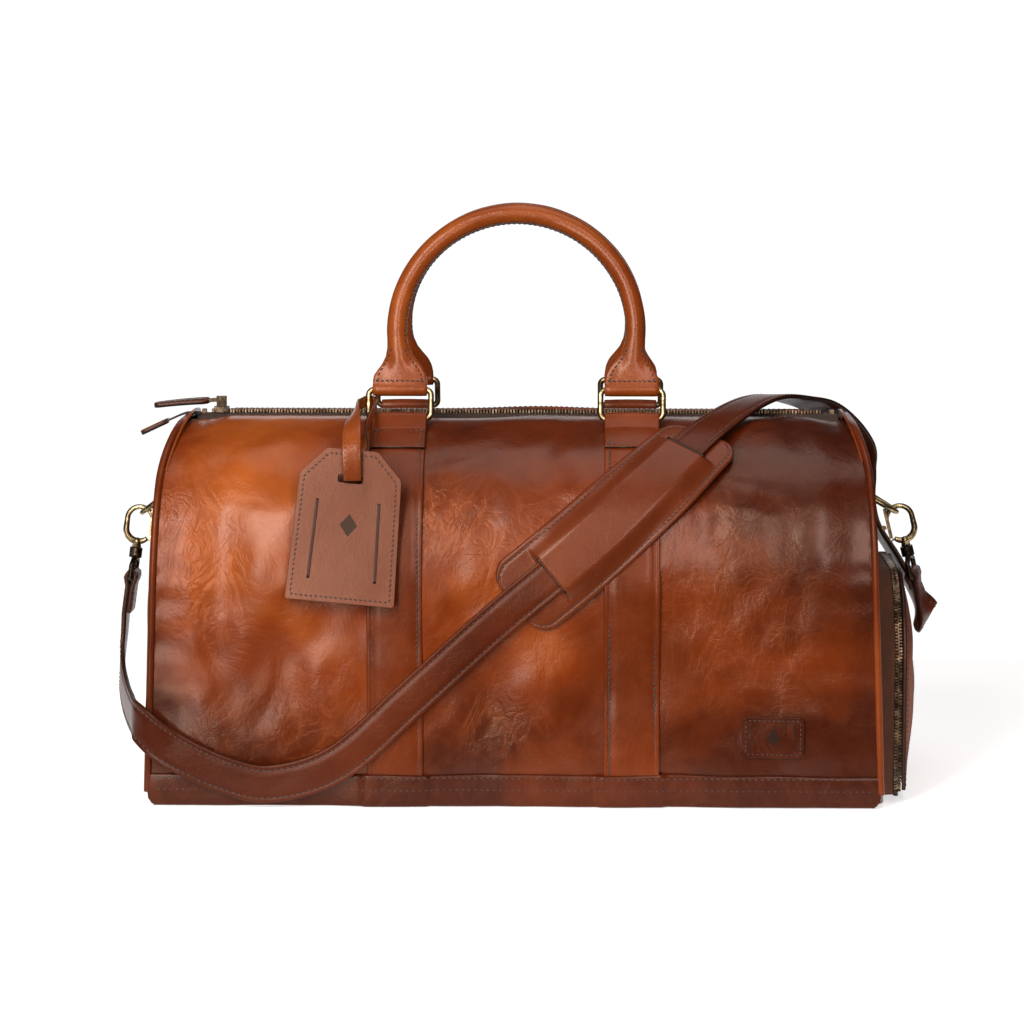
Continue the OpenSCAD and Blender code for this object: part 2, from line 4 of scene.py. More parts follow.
import bmesh
import bpy
import numpy as np
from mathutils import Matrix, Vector


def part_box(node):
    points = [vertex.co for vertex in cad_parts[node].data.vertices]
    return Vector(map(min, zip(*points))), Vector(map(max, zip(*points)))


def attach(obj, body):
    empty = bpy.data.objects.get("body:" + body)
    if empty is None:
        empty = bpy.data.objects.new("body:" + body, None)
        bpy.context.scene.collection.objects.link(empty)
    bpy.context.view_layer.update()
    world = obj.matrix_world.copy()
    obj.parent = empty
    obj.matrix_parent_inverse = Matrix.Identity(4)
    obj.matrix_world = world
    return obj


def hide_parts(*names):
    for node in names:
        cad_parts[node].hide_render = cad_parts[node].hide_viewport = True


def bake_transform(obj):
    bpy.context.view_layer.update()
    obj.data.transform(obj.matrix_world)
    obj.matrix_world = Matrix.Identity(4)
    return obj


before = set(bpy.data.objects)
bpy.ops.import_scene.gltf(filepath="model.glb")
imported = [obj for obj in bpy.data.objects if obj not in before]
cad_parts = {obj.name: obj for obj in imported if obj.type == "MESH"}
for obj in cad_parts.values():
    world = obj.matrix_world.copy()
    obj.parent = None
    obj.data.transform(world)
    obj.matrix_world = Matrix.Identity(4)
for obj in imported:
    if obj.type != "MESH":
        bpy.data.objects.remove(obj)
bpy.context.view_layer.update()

# ---- driving sizes ----

HALF_DEPTH = 0.119
ARCH_Z = 0.150
ARCH_H = 0.108
ARCH_N = 2.15
BASE_TUCK = 0.003
HALF_LENGTH = 0.245
END_LEAN = 0.010
CORNER_IN = 0.009
SHOULDER_Z = 0.215
BAG_H = ARCH_Z + ARCH_H
ZIP_EDGE = 0.0058
LEATHER = 0.0024
BAND_W = 0.037
BAND_T = 0.0020
BAND_INSET = 0.0034
FOOT_Z = 0.0035
END_IN = 0.0007
RING_SPAN = 0.158
STRAP_W = 0.025
PAD_W = 0.058

# ---- camera ----

VIEW_POINT = Vector((0.0550, -2.3447, 0.4676))
YAW = math.radians(1.435)
PITCH = math.radians(-6.859)
SENSOR = 36.0
LENS = 119.0


def make_camera():
    data = bpy.data.cameras.new("camera")
    data.lens = LENS
    data.sensor_width = SENSOR
    data.clip_start = 0.05
    data.clip_end = 50.0
    camera = bpy.data.objects.new("camera", data)
    bpy.context.collection.objects.link(camera)
    camera.location = VIEW_POINT
    camera.rotation_euler = (math.radians(90) + PITCH, 0.0, YAW)
    bpy.context.scene.camera = camera


make_camera()

# ---- node materials ----


class Nodes:
    """A short way to build a node tree: each call adds a node and joins its inputs."""

    def __init__(self, name):
        self.material = bpy.data.materials.new(name)
        self.material.use_nodes = True
        self.tree = self.material.node_tree
        self.shader = self.tree.nodes["Principled BSDF"]
        self.place = self.tree.nodes.new("ShaderNodeTexCoord").outputs["Object"]

    def add(self, kind, settings=None, **inputs):
        node = self.tree.nodes.new(kind)
        for key, value in (settings or {}).items():
            setattr(node, key, value)
        for key, value in inputs.items():
            socket = node.inputs[key.replace("_", " ")]
            if isinstance(value, bpy.types.NodeSocket):
                self.tree.links.new(value, socket)
            else:
                socket.default_value = value
        return node

    def noise(self, scale, detail=3.0, rough=0.5, distortion=0.0, place=None, stretch=None):
        place = place or self.place
        if stretch:
            place = self.add("ShaderNodeMapping", Vector=place, Scale=stretch).outputs["Vector"]
        node = self.add("ShaderNodeTexNoise", Vector=place, Scale=scale, Detail=detail,
                        Roughness=rough, Distortion=distortion)
        return node.outputs["Fac"]

    def voronoi(self, scale):
        return self.add("ShaderNodeTexVoronoi", Vector=self.place, Scale=scale).outputs["Distance"]

    def ridges(self, scale, distortion, stretch):
        """Thin wandering lines, 1 on the line: the creases of pulled-up leather."""
        field = self.noise(scale, 3.0, 0.5, distortion, None, stretch)
        fold = self.math("ABSOLUTE", self.math("SUBTRACT", field, 0.5))
        return self.math("POWER", self.math("SUBTRACT", 1.0, self.math("MULTIPLY", fold, 4.0), True), 5.0)

    def math(self, op, a, b=0.0, clamp=False):
        node = self.tree.nodes.new("ShaderNodeMath")
        node.operation = op
        node.use_clamp = clamp
        for socket, value in zip(node.inputs, (a, b)):
            if isinstance(value, bpy.types.NodeSocket):
                self.tree.links.new(value, socket)
            else:
                socket.default_value = value
        return node.outputs[0]

    def ramp(self, fac, stops):
        node = self.tree.nodes.new("ShaderNodeValToRGB")
        self.tree.links.new(fac, node.inputs[0])
        marks = node.color_ramp.elements
        while len(marks) < len(stops):
            marks.new(0.5)
        for mark, (at, value) in zip(marks, stops):
            mark.position = at
            mark.color = (*value, 1.0) if isinstance(value, tuple) else (value, value, value, 1.0)
        return node.outputs["Color"]

    def mix(self, fac, a, b):
        node = self.tree.nodes.new("ShaderNodeMix")
        node.data_type = "RGBA"
        for socket, value in ((node.inputs[0], fac), (node.inputs[6], a), (node.inputs[7], b)):
            if isinstance(value, bpy.types.NodeSocket):
                self.tree.links.new(value, socket)
            elif isinstance(value, tuple):
                socket.default_value = (*value, 1.0)
            else:
                socket.default_value = value
        return node.outputs[2]

    def bump(self, height, distance, strength=1.0, normal=None):
        node = self.add("ShaderNodeBump", Height=height, Distance=distance, Strength=strength)
        if normal is not None:
            self.tree.links.new(normal, node.inputs["Normal"])
        return node.outputs["Normal"]

    def attribute(self, name):
        return self.add("ShaderNodeAttribute", {"attribute_name": name}).outputs["Fac"]

    def finish(self, color, roughness, normal=None, **constants):
        for name, value in (("Base Color", color), ("Roughness", roughness), ("Normal", normal)):
            socket = self.shader.inputs[name]
            if isinstance(value, bpy.types.NodeSocket):
                self.tree.links.new(value, socket)
            elif isinstance(value, tuple):
                socket.default_value = (*value, 1.0)
            elif value is not None:
                socket.default_value = value
        for name, value in constants.items():
            self.shader.inputs[name.replace("_", " ")].default_value = value
        return self.material


def leather(name, dark, middle, light, gloss, crease=1.0, grain=1.0, coat=0.14, tone=True, shine=0.30):
    """Waxed leather: cloudy colour, pale pulled-up creases, fine pores and a soft waxy coat.

    tone says that the mesh carries how light and how creased the leather is at each point; on the body
    panels, end panels, bands and shoe door that lightness is painted light and shade.
    """
    n = Nodes(name)
    cloud = n.noise(6.0, 3.0, 0.5, 0.5)
    patch = n.noise(30.0, 4.0, 0.6, 0.3)
    where = n.attribute("crease") if tone else 0.3
    coarse = n.ridges(26.0, 1.6, (1.0, 1.0, 0.55))
    fine = n.ridges(75.0, 1.2, (1.0, 1.0, 0.7))
    creased = n.math("MULTIPLY", n.math("ADD", coarse, n.math("MULTIPLY", fine, 0.6)), where)
    mixed = n.math("ADD", n.math("MULTIPLY", cloud, 0.80), n.math("MULTIPLY", patch, 0.20))
    if tone:
        mixed = n.math("ADD", mixed, n.math("MULTIPLY", n.math("SUBTRACT", n.attribute("tone"), 0.5), 0.85))
    color = n.ramp(mixed, [(0.26, dark), (0.50, middle), (0.76, light)])
    pale = n.mix(0.5, color, tuple(min(1.0, 1.6 * c + 0.03) for c in light))
    color = n.mix(n.math("MULTIPLY", creased, 0.35 * crease, True), color, pale)
    pores = n.voronoi(900.0)
    pebble = n.noise(420.0, 3.0, 0.6)
    soft = n.noise(22.0, 4.0, 0.55, 0.8)
    height = n.math("ADD", n.math("MULTIPLY", soft, 0.7 * crease),
                    n.math("MULTIPLY", creased, -0.28 * crease))
    broad = n.bump(n.noise(11.0, 2.0, 0.5, 0.6), 0.0080 * crease)
    normal = n.bump(height, 0.0018, 1.0, broad)
    small = n.math("ADD", n.math("MULTIPLY", pores, 0.5), pebble)
    normal = n.bump(small, 0.00009 * grain, 1.0, normal)
    rough = n.math("ADD", n.math("MULTIPLY", n.noise(60.0, 4.0, 0.6), 0.16), gloss - 0.08)
    rough = n.math("ADD", rough, n.math("MULTIPLY", creased, 0.06))
    return n.finish(color, rough, normal, Coat_Weight=coat, Coat_Roughness=0.20, Specular_IOR_Level=shine,
                    Specular_Tint=(1.0, 0.64, 0.47, 1.0), Coat_Tint=(1.0, 0.88, 0.80, 1.0))


def metal(name, color, worn, rough=0.30):
    """Antique brass: dark patina with rubbed bright patches and fine brush marks."""
    n = Nodes(name)
    patina = n.ramp(n.noise(160.0, 5.0, 0.65, 0.4),
                    [(0.38, tuple(0.42 * c for c in color)), (0.50, color), (0.64, worn)])
    scratch = n.noise(900.0, 2.0, 0.5, 0.0, None, (1.0, 0.15, 1.0))
    normal = n.bump(scratch, 0.00004)
    roughness = n.math("ADD", n.math("MULTIPLY", n.noise(300.0, 3.0), 0.22), rough - 0.08)
    return n.finish(patina, roughness, normal, Metallic=1.0)


def woven(name, color, pitch, sheen=0.3):
    """Plain woven cloth or zip tape."""
    n = Nodes(name)
    turns = 2 * math.pi / pitch / 20
    waves = [
        n.add("ShaderNodeTexWave", {"bands_direction": axis}, Vector=n.place, Scale=turns).outputs["Fac"]
        for axis in ("X", "Z")
    ]
    weave = n.math("MULTIPLY", waves[0], waves[1])
    tint = n.mix(n.noise(90.0, 3.0), tuple(0.65 * c for c in color), tuple(1.25 * c for c in color))
    tint = n.mix(n.math("MULTIPLY", weave, 0.5), tint, tuple(0.45 * c for c in color))
    return n.finish(tint, 0.85, n.bump(weave, 0.0002), Sheen_Weight=sheen)


def thread(name, color):
    """Waxed thread with a fine twist."""
    n = Nodes(name)
    twist = n.noise(2400.0, 1.0)
    tint = n.mix(twist, tuple(0.7 * c for c in color), tuple(1.3 * c for c in color))
    return n.finish(tint, 0.55, n.bump(twist, 0.00005), Sheen_Weight=0.2)


def fibre(name, color):
    """Pressed board or rope, matt and flecked."""
    n = Nodes(name)
    fleck = n.noise(500.0, 4.0, 0.7)
    tint = n.ramp(fleck, [(0.35, tuple(0.6 * c for c in color)), (0.65, tuple(1.2 * c for c in color))])
    return n.finish(tint, 0.9, n.bump(fleck, 0.0002))


TAN = leather("tan_leather", (0.036, 0.0046, 0.0008), (0.150, 0.0240, 0.0026), (0.36, 0.086, 0.011),
              gloss=0.31)
DOOR_TAN = leather("door_leather", (0.052, 0.0070, 0.0010), (0.160, 0.0290, 0.0034), (0.32, 0.080, 0.012),
                   gloss=0.52, crease=0.6, coat=0.0, shine=0.04)
BAND_TAN = leather("band_leather", (0.032, 0.0044, 0.0010), (0.120, 0.0200, 0.0030), (0.27, 0.062, 0.011),
                   gloss=0.34, crease=0.6, coat=0.10, shine=0.20)
HANDLE_TAN = leather("handle_leather", (0.046, 0.0070, 0.0012), (0.165, 0.031, 0.0042), (0.36, 0.094, 0.016),
                     gloss=0.28, crease=0.5, grain=1.6)
DARK = leather("dark_leather", (0.028, 0.0044, 0.0013), (0.064, 0.0108, 0.0030), (0.140, 0.030, 0.009),
               gloss=0.32, crease=0.4, grain=1.5, coat=0.08, shine=0.16)
EDGE = leather("leather_edge", (0.010, 0.004, 0.003), (0.020, 0.008, 0.006), (0.036, 0.015, 0.010),
               gloss=0.45, crease=0.2, coat=0.1)
PAD_LEATHER = leather("pad_leather", (0.046, 0.0078, 0.0024), (0.105, 0.0200, 0.0056), (0.200, 0.048, 0.014),
                      gloss=0.32, crease=0.5, grain=1.5, coat=0.12, shine=0.24)
TAG_LEATHER = leather("tag_leather", (0.064, 0.0160, 0.0075), (0.140, 0.0400, 0.0180), (0.265, 0.094, 0.048),
                      gloss=0.34, crease=0.35, grain=1.2, coat=0.2)
PLAIN_TAN = leather("tan_leather_plain", (0.034, 0.0070, 0.0020), (0.105, 0.0235, 0.0050),
                    (0.21, 0.060, 0.014),
                    gloss=0.32, crease=0.3, coat=0.3, tone=False)
PLAIN_DARK = leather("dark_leather_plain", (0.022, 0.0058, 0.0036), (0.052, 0.0135, 0.0072),
                     (0.10, 0.028, 0.014),
                     gloss=0.36, crease=0.3, coat=0.2, tone=False)
BRASS = metal("antique_brass", (0.30, 0.225, 0.115), (0.56, 0.45, 0.27))
DARK_METAL = metal("dark_brass", (0.040, 0.029, 0.019), (0.13, 0.095, 0.06), 0.38)
TEETH = metal("zip_metal", (0.150, 0.105, 0.066), (0.30, 0.225, 0.150), 0.42)
DARK_TEETH = metal("dark_zip_metal", (0.085, 0.055, 0.034), (0.26, 0.18, 0.11), 0.36)
TAPE = woven("zip_tape", (0.032, 0.0130, 0.0070), 0.0008, 0.03)
GUSSET = woven("gusset_tape", (0.095, 0.030, 0.0110), 0.0008, 0.02)
CLOTH = woven("lining_cloth", (0.16, 0.10, 0.06), 0.0012)
ROPE = fibre("rope_core", (0.50, 0.38, 0.24))
BOARD = fibre("fibre_board", (0.30, 0.21, 0.12))
THREAD_TAN = thread("tan_thread", (0.026, 0.008, 0.004))
THREAD_DARK = thread("dark_thread", (0.022, 0.008, 0.005))

# ---- outline and soft surface of the bag ----


def unit(v):
    return v / np.maximum(np.linalg.norm(v, axis=-1, keepdims=True), 1e-12)


def smooth(a, b, x):
    t = np.clip((x - a) / (b - a), 0.0, 1.0)
    return t * t * (3 - 2 * t)


def outline_table():
    """Half the outline from the zip line down: arc length, depth, height and outward normal."""
    angle = np.radians(np.linspace(90.0, 0.0, 500))
    power = 2 / ARCH_N
    depth = HALF_DEPTH * np.clip(np.cos(angle), 0, 1) ** power
    height = ARCH_Z + ARCH_H * np.clip(np.sin(angle), 0, 1) ** power
    wall = np.linspace(ARCH_Z, 0.0, 120)[1:]
    depth = np.concatenate([depth, HALF_DEPTH - BASE_TUCK * (1 - wall / ARCH_Z)])
    height = np.concatenate([height, wall])
    length = np.concatenate([[0.0], np.cumsum(np.hypot(np.diff(depth), np.diff(height)))])
    even = np.linspace(0.0, length[-1], 800)
    depth, height = np.interp(even, length, depth), np.interp(even, length, height)
    run, fall = np.gradient(depth, even), np.gradient(height, even)
    size = np.hypot(run, fall)
    return even, depth, height, -fall / size, run / size


LENGTHS, DEPTHS, HEIGHTS, NORMAL_Y, NORMAL_Z = outline_table()


def s_at_z(z):
    return np.interp(-np.asarray(z, float), -HEIGHTS, LENGTHS)


def s_at_y(y):
    return np.interp(y, DEPTHS[:380], LENGTHS[:380])


def end_x(z):
    z = np.asarray(z, float)
    corner = np.clip((z - SHOULDER_Z) / (BAG_H - SHOULDER_Z), 0.0, 1.2)
    return HALF_LENGTH - END_LEAN * z / BAG_H - CORNER_IN * corner ** 2


WAVE_COUNT = 9


def waves(x, y, size, seed):
    """Smooth seeded undulation between about -1 and 1, with features of the given size."""
    rng = np.random.RandomState(seed)
    total = 0.0
    for _ in range(WAVE_COUNT):
        turn = rng.uniform(0, 2 * math.pi)
        reach = 2 * math.pi / (size * rng.uniform(0.8, 1.6))
        total = total + np.sin(reach * (x * math.cos(turn) + y * math.sin(turn)) + rng.uniform(0,
                2 * math.pi))
    return total / math.sqrt(WAVE_COUNT)


# Soft dents and swells pressed into the leather: x, s, half width along x and s, height
FRONT_DENTS = (
    (-0.195, 0.17, 0.016, 0.070, -0.0028), (-0.165, 0.25, 0.030, 0.040, -0.0018),
    (-0.020, 0.13, 0.040, 0.020, -0.0016),
    (0.010, 0.22, 0.030, 0.050, 0.0016), (-0.210, 0.29, 0.025, 0.030, 0.0022),
    (0.150, 0.20, 0.030, 0.060, -0.0022),
    (0.205, 0.15, 0.014, 0.080, 0.0018), (0.190, 0.27, 0.040, 0.030, 0.0016),
    (0.120, 0.12, 0.022, 0.050, -0.0014),
    (-0.120, 0.14, 0.020, 0.060, 0.0014), (-0.225, 0.10, 0.010, 0.050, -0.0012),
)


def soft(x, s, side):
    """How far the stuffed leather stands out from the plain outline."""
    z = np.interp(s, LENGTHS, HEIGHTS)
    u = np.clip(np.abs(x) / end_x(z), 0.0, 1.0)
    free = 1 - u ** 6
    swell = 0.0014 * np.sin(np.pi * np.clip((s - 0.05) / 0.27, 0, 1)) * free
    swell = swell - 0.0052 * smooth(0.86, 1.0, u) * (1 - smooth(0.02, 0.11, s))
    rim = 1 - smooth(0.004, 0.042, s)
    if side < 0:
        dip = 0.0044 + 0.0026 * np.exp(-((x + 0.042) / 0.036) ** 2)
        dip = dip - 0.0010 * np.exp(-((x - 0.015) / 0.022) ** 2)
    else:
        dip = 0.0008 - 0.0018 * np.exp(-((x - 0.015) / 0.036) ** 2)
    swell = swell - rim * dip * (1 - smooth(0.90, 1.0, u) * 0.6)
    seed = 3 if side < 0 else 11
    roam = free * smooth(0.02, 0.08, s)
    swell = swell + roam * (0.0007 * waves(x, s, 0.085, seed) + 0.0003 * waves(x, s, 0.030, seed + 1))
    pucker = smooth(0.80, 0.99, u) * (1 - smooth(0.985, 1.0, u)) * smooth(0.02, 0.06, s)
    swell = swell + 0.00022 * pucker * np.sin(np.asarray(s) * 210 + 3 * np.sin(np.asarray(s) * 37))
    turn = 1 if side < 0 else -1
    for cx, cs, rx, rs, lift in FRONT_DENTS:
        swell = swell + lift * np.exp(-((x - turn * cx) / rx) ** 2 - ((s - cs) / rs) ** 2)
    return swell


def skin(x, s, off, side):
    """Points on the bag's soft outside, off metres outward, on the front (side -1) or back (side 1)."""
    x, s, off = np.broadcast_arrays(np.asarray(x, float), np.asarray(s, float), np.asarray(off, float))
    out = off + soft(x, s, side)
    y = np.interp(s, LENGTHS, DEPTHS) + np.interp(s, LENGTHS, NORMAL_Y) * out
    z = np.interp(s, LENGTHS, HEIGHTS) + np.interp(s, LENGTHS, NORMAL_Z) * out
    return np.stack([x, side * y, z], -1)


def skin_normal(s, side):
    s = np.asarray(s, float)
    return np.stack([0 * s, side * np.interp(s, LENGTHS, NORMAL_Y), np.interp(s, LENGTHS, NORMAL_Z)], -1)


# ---- mesh tools ----


def mesh_piece(name, verts, faces, materials, face_slots=None, flat=False):
    """A mesh object from points and faces, with smooth shading."""
    mesh = bpy.data.meshes.new(name)
    mesh.from_pydata([tuple(v) for v in np.asarray(verts, float)], [],
                     [tuple(int(i) for i in f) for f in faces])
    for material in materials if isinstance(materials, (list, tuple)) else (materials,):
        mesh.materials.append(material)
    if face_slots is not None:
        mesh.polygons.foreach_set("material_index", np.asarray(face_slots, np.int32))
    mesh.polygons.foreach_set("use_smooth", np.full(len(mesh.polygons), not flat))
    mesh.validate()
    work = bmesh.new()
    work.from_mesh(mesh)
    bmesh.ops.recalc_face_normals(work, faces=work.faces)
    work.to_mesh(mesh)
    work.free()
    piece = bpy.data.objects.new(name, mesh)
    bpy.context.collection.objects.link(piece)
    return piece


def grid_faces(rows, columns, close_rows=False, close_columns=False, start=0):
    faces = []
    for i in range(rows if close_rows else rows - 1):
        for j in range(columns if close_columns else columns - 1):
            a, b = i, (i + 1) % rows
            c, d = j, (j + 1) % columns
            faces.append((start + a * columns + c, start + a * columns + d, start + b * columns + d,
                          start + b * columns + c))
    return faces


def set_tone(piece, values, creases=None):
    """Stores how light or dark the leather is at each point, 0.5 being neutral, and how creased it is."""
    creases = np.full(len(values), 0.22) if creases is None else creases
    for name, data in (("tone", values), ("crease", creases)):
        attribute = piece.data.attributes.get(name) or piece.data.attributes.new(name, "FLOAT", "POINT")
        attribute.data.foreach_set("value", np.clip(data, 0, 1).astype(np.float32))


def even_tone(piece, value=0.5):
    set_tone(piece, np.full(len(piece.data.vertices), value))


def add(piece, kind, name="mod", **settings):
    modifier = piece.modifiers.new(name, kind)
    for key, value in settings.items():
        setattr(modifier, key, value)
    return modifier


def place(piece, body, slot, *nodes):
    """Says which body a piece rides on, and hides the CAD nodes that it stands for. The slot argument is not
    used.
    """
    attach(piece, body)
    if nodes:
        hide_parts(*nodes)
    return piece


def curve_points(points, per_span):
    """Catmull-Rom points through a list of vectors."""
    p = np.asarray(points, float)
    n = len(p)
    out = []
    for i in range(n - 1):
        a, b, c, d = p[max(i - 1, 0)], p[i], p[i + 1], p[min(i + 2, n - 1)]
        for t in np.arange(per_span) / per_span:
            out.append(0.5 * (2 * b + (c - a) * t + (2 * a - 5 * b + 4 * c - d) * t ** 2
                              + (3 * b - a - 3 * c + d) * t ** 3))
    out.append(p[-1])
    return np.array(out)


def headings(points, closed=False):
    if closed:
        return unit(np.roll(points, -1, 0) - np.roll(points, 1, 0))
    return unit(np.gradient(points, axis=0))


def evenly(points, step, *others):
    """Resamples a line at even steps, with other per-point values carried along."""
    length = np.concatenate([[0.0], np.cumsum(np.linalg.norm(np.diff(points, axis=0), axis=1))])
    at = np.linspace(0.0, length[-1], max(2, int(round(length[-1] / step)) + 1))
    out = [np.stack([np.interp(at, length, v[:, k]) for k in range(v.shape[1])], -1) for v in (points,
            *others)]
    return out if others else out[0]


def strip_section(width, thick, groove, crown):
    """Section of a leather strip, from its left underside: rounded edges and two stitch grooves."""
    h, t, e = width / 2, thick / 2, min(0.0006, thick * 0.3)
    top = [(-h, -t + e), (-h, t - e), (-h + e * 0.4, t - e * 0.25), (-h + e * 1.4, t)]
    if groove:
        top += [(-h + groove - 0.0009, t), (-h + groove, t - 0.0003), (-h + groove + 0.0010, t + crown * 0.3)]
    inner = h - (groove + 0.0010 if groove else 2 * e)
    top += [(k * inner, t + crown * (1 - k * k)) for k in (-0.6, -0.2, 0.2, 0.6)]
    right = [(-x, y) for x, y in reversed(top[:-4])]
    under = [(h - e * 0.8, -t), (h * 0.5, -t), (-h * 0.5, -t), (-h + e * 0.8, -t)]
    return np.array(top + right + under)


def sweep(points, normals, sections, closed=False):
    """Verts and faces of sections (x across, y along the normal) carried along a line."""
    heading = headings(points, closed)
    across = unit(np.cross(heading, normals))
    out = unit(np.cross(across, heading))
    n, m = len(points), sections.shape[1]
    verts = points[:, None] + across[:, None] * sections[..., :1] + out[:, None] * sections[..., 1:]
    faces = grid_faces(n, m, closed, True)
    if not closed:
        faces += [tuple(range(m))[::-1], tuple((n - 1) * m + j for j in range(m))]
    return verts.reshape(-1, 3), faces


def strip(name, points, normals, width, thick, materials, groove, crown=0.0, closed=False,
          round_ends=0.0):
    """A flat leather strip with rounded edges and stitch grooves. width may vary along it."""
    n = len(points)
    widths = np.broadcast_to(np.asarray(width, float), (n,)).copy()
    if round_ends:
        length = np.concatenate([[0.0], np.cumsum(np.linalg.norm(np.diff(points, axis=0), axis=1))])
        for gap in (length, length[-1] - length):
            k = np.clip(1 - gap / round_ends, 0, 1)
            widths = np.minimum(widths, widths - 2 * round_ends * (1 - np.sqrt(np.clip(1 - k * k, 0,
                    1))) * 0.92)
    sections = np.array([strip_section(max(w, 0.002), thick, groove, crown)
                         if w > 3.2 * groove or not groove else narrow_section(w, thick, groove, crown)
                         for w in widths])
    verts, faces = sweep(points, normals, sections, closed)
    piece = mesh_piece(name, verts, faces, materials or (DARK, EDGE))
    even_tone(piece)
    m = sections.shape[1]
    slots = np.zeros(len(faces), np.int32)
    side = np.arange(len(faces)) % m
    quads = n * m if closed else (n - 1) * m
    first_right = m - 4 - 4
    slots[:quads] = np.isin(side[:quads], (0, m - 1, first_right + 2, first_right + 3))
    slots[quads:] = 1
    piece.data.polygons.foreach_set("material_index", slots)
    return piece


def narrow_section(width, thick, groove, crown):
    """The same number of points as a grooved section, squeezed to a narrow width."""
    full = strip_section(4 * groove, thick, groove, crown)
    full[:, 0] *= max(width, 0.001) / (4 * groove)
    return full


class Seams:
    """Collects stitches and builds one piece of them for each body and thread."""

    def __init__(self):
        self.parts = {}

    def sew(self, body, material, points, normals, pitch=0.0036, length=0.0027, radius=0.00058):
        points, normals = evenly(np.asarray(points, float), pitch, np.asarray(normals, float))
        heading = headings(points)
        normals = unit(normals - heading * np.sum(normals * heading, -1, keepdims=True))
        across = np.cross(heading, normals)
        ring = [(math.cos(a), math.sin(a)) for a in np.linspace(0, 2 * math.pi, 6, endpoint=False)]
        verts = []
        for along, size in ((-0.5, 0.35), (-0.38, 0.85), (0.0, 1.0), (0.38, 0.85), (0.5, 0.35)):
            dip = -abs(along) ** 2 * 4 * radius * 1.1
            for c, d in ring:
                slant = across * (c * radius * size + along * radius * 1.2)
                verts.append(points + heading * along * length + slant + normals * (dip + d * radius * size))
        verts = np.stack(verts, 1)
        count = verts.shape[1]
        base = grid_faces(5, 6, False, True) + [tuple(range(6))[::-1], tuple(24 + j for j in range(6))]
        faces = [tuple(i * count + k for k in f) for i in range(len(points)) for f in base]
        self.parts.setdefault((body, material.name), []).append((verts.reshape(-1, 3), faces))

    def build(self):
        for (body, thread_name), parts in self.parts.items():
            verts, faces, start = [], [], 0
            for v, f in parts:
                verts.append(v)
                faces += [tuple(start + k for k in face) for face in f]
                start += len(v)
            piece = mesh_piece(f"stitches_{body}_{thread_name}", np.concatenate(verts), faces,
                               bpy.data.materials[thread_name])
            if body in STRAP_SPANS:
                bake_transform(piece)
            else:
                place(piece, body, "dark_leather")


seams = Seams()


def sheet(name, outer, inner, materials, rim_slot=0, closed=False):
    """A leather sheet between two grids of points (rows, columns, 3), closed round its rim."""
    rows, columns = outer.shape[:2]
    count = rows * columns
    verts = np.concatenate([outer.reshape(-1, 3), inner.reshape(-1, 3)])
    front = grid_faces(rows, columns, False, closed)
    back = [tuple(k + count for k in f[::-1]) for f in front]
    last = (rows - 1) * columns
    if closed:
        loops = [[j % columns for j in range(columns + 1)], [last + j % columns for j in range(columns + 1)]]
    else:
        loop = list(range(columns)) + [i * columns + columns - 1 for i in range(1, rows)]
        loop += [last + j for j in range(columns - 2, -1, -1)] + [i * columns for i in range(rows - 2, -1,
                -1)]
        loops = [loop]
    rim = [(a, b, b + count, a + count) for loop in loops for a, b in zip(loop, loop[1:])]
    slots = [0] * (len(front) + len(back)) + [rim_slot] * len(rim)
    return mesh_piece(name, verts, front + back + rim, materials, slots)


# ---- body ----


def body_light_and_shade(x, z, side):
    """Painted light and shade: paler on the upper left of the front where the light falls, with two painted
    highlights; painted shade low down and at the right; darker over the top and along the ends.
    """
    x = x if side < 0 else -x
    # painted light on the left of the front, painted shade towards the right
    tone = 0.50 + 0.13 * smooth(-0.05, -0.19, x) * smooth(0.04, 0.10, z) - 0.20 * smooth(0.02, 0.20, x)
    # painted shade low down; darker over the top
    tone = tone - (0.10 + 0.16 * smooth(-0.14, -0.03, x)) * smooth(0.105, 0.030, z) - 0.11 * smooth(0.200,
            0.245, z)
    # darker near the left end, low down
    tone = tone - 0.07 * np.exp(-((x + 0.235) / 0.02) ** 2) * smooth(0.20, 0.10, z)
    # painted highlights: a soft sheen on the upper left and a sheen left of the middle
    tone = tone + 0.06 * np.exp(-((x + 0.19) / 0.05) ** 2 - ((z - 0.225) / 0.022) ** 2)
    tone = tone + 0.16 * np.exp(-((x + 0.035) / 0.030) ** 2 - ((z - 0.150) / 0.028) ** 2)
    # darker towards both ends
    return tone - 0.14 * smooth(0.215, 0.238, np.abs(x))


# Patches of pulled-up creases on the front: x, z, half width, half height, strength
CREASES = (
    (-0.215, 0.175, 0.022, 0.045, 1.0), (-0.190, 0.150, 0.016, 0.030, 0.7),
    (-0.050, 0.195, 0.030, 0.018, 0.9),
    (-0.020, 0.175, 0.022, 0.020, 0.6), (-0.195, 0.040, 0.050, 0.020, 0.3),
    (0.135, 0.150, 0.030, 0.060, 0.35),
    (0.180, 0.120, 0.020, 0.050, 0.3), (-0.130, 0.060, 0.020, 0.030, 0.5), (-0.010, 0.060, 0.030, 0.020, 0.4),
    (0.030, 0.190, 0.040, 0.025, 0.3),
)


def body_creases(x, z, side):
    x = x if side < 0 else -x
    total = 0.06 + 0 * x
    for cx, cz, rx, rz, strength in CREASES:
        total = total + strength * np.exp(-((x - cx) / rx) ** 2 - ((z - cz) / rz) ** 2)
    return total


ZIP_INSET = 0.0045


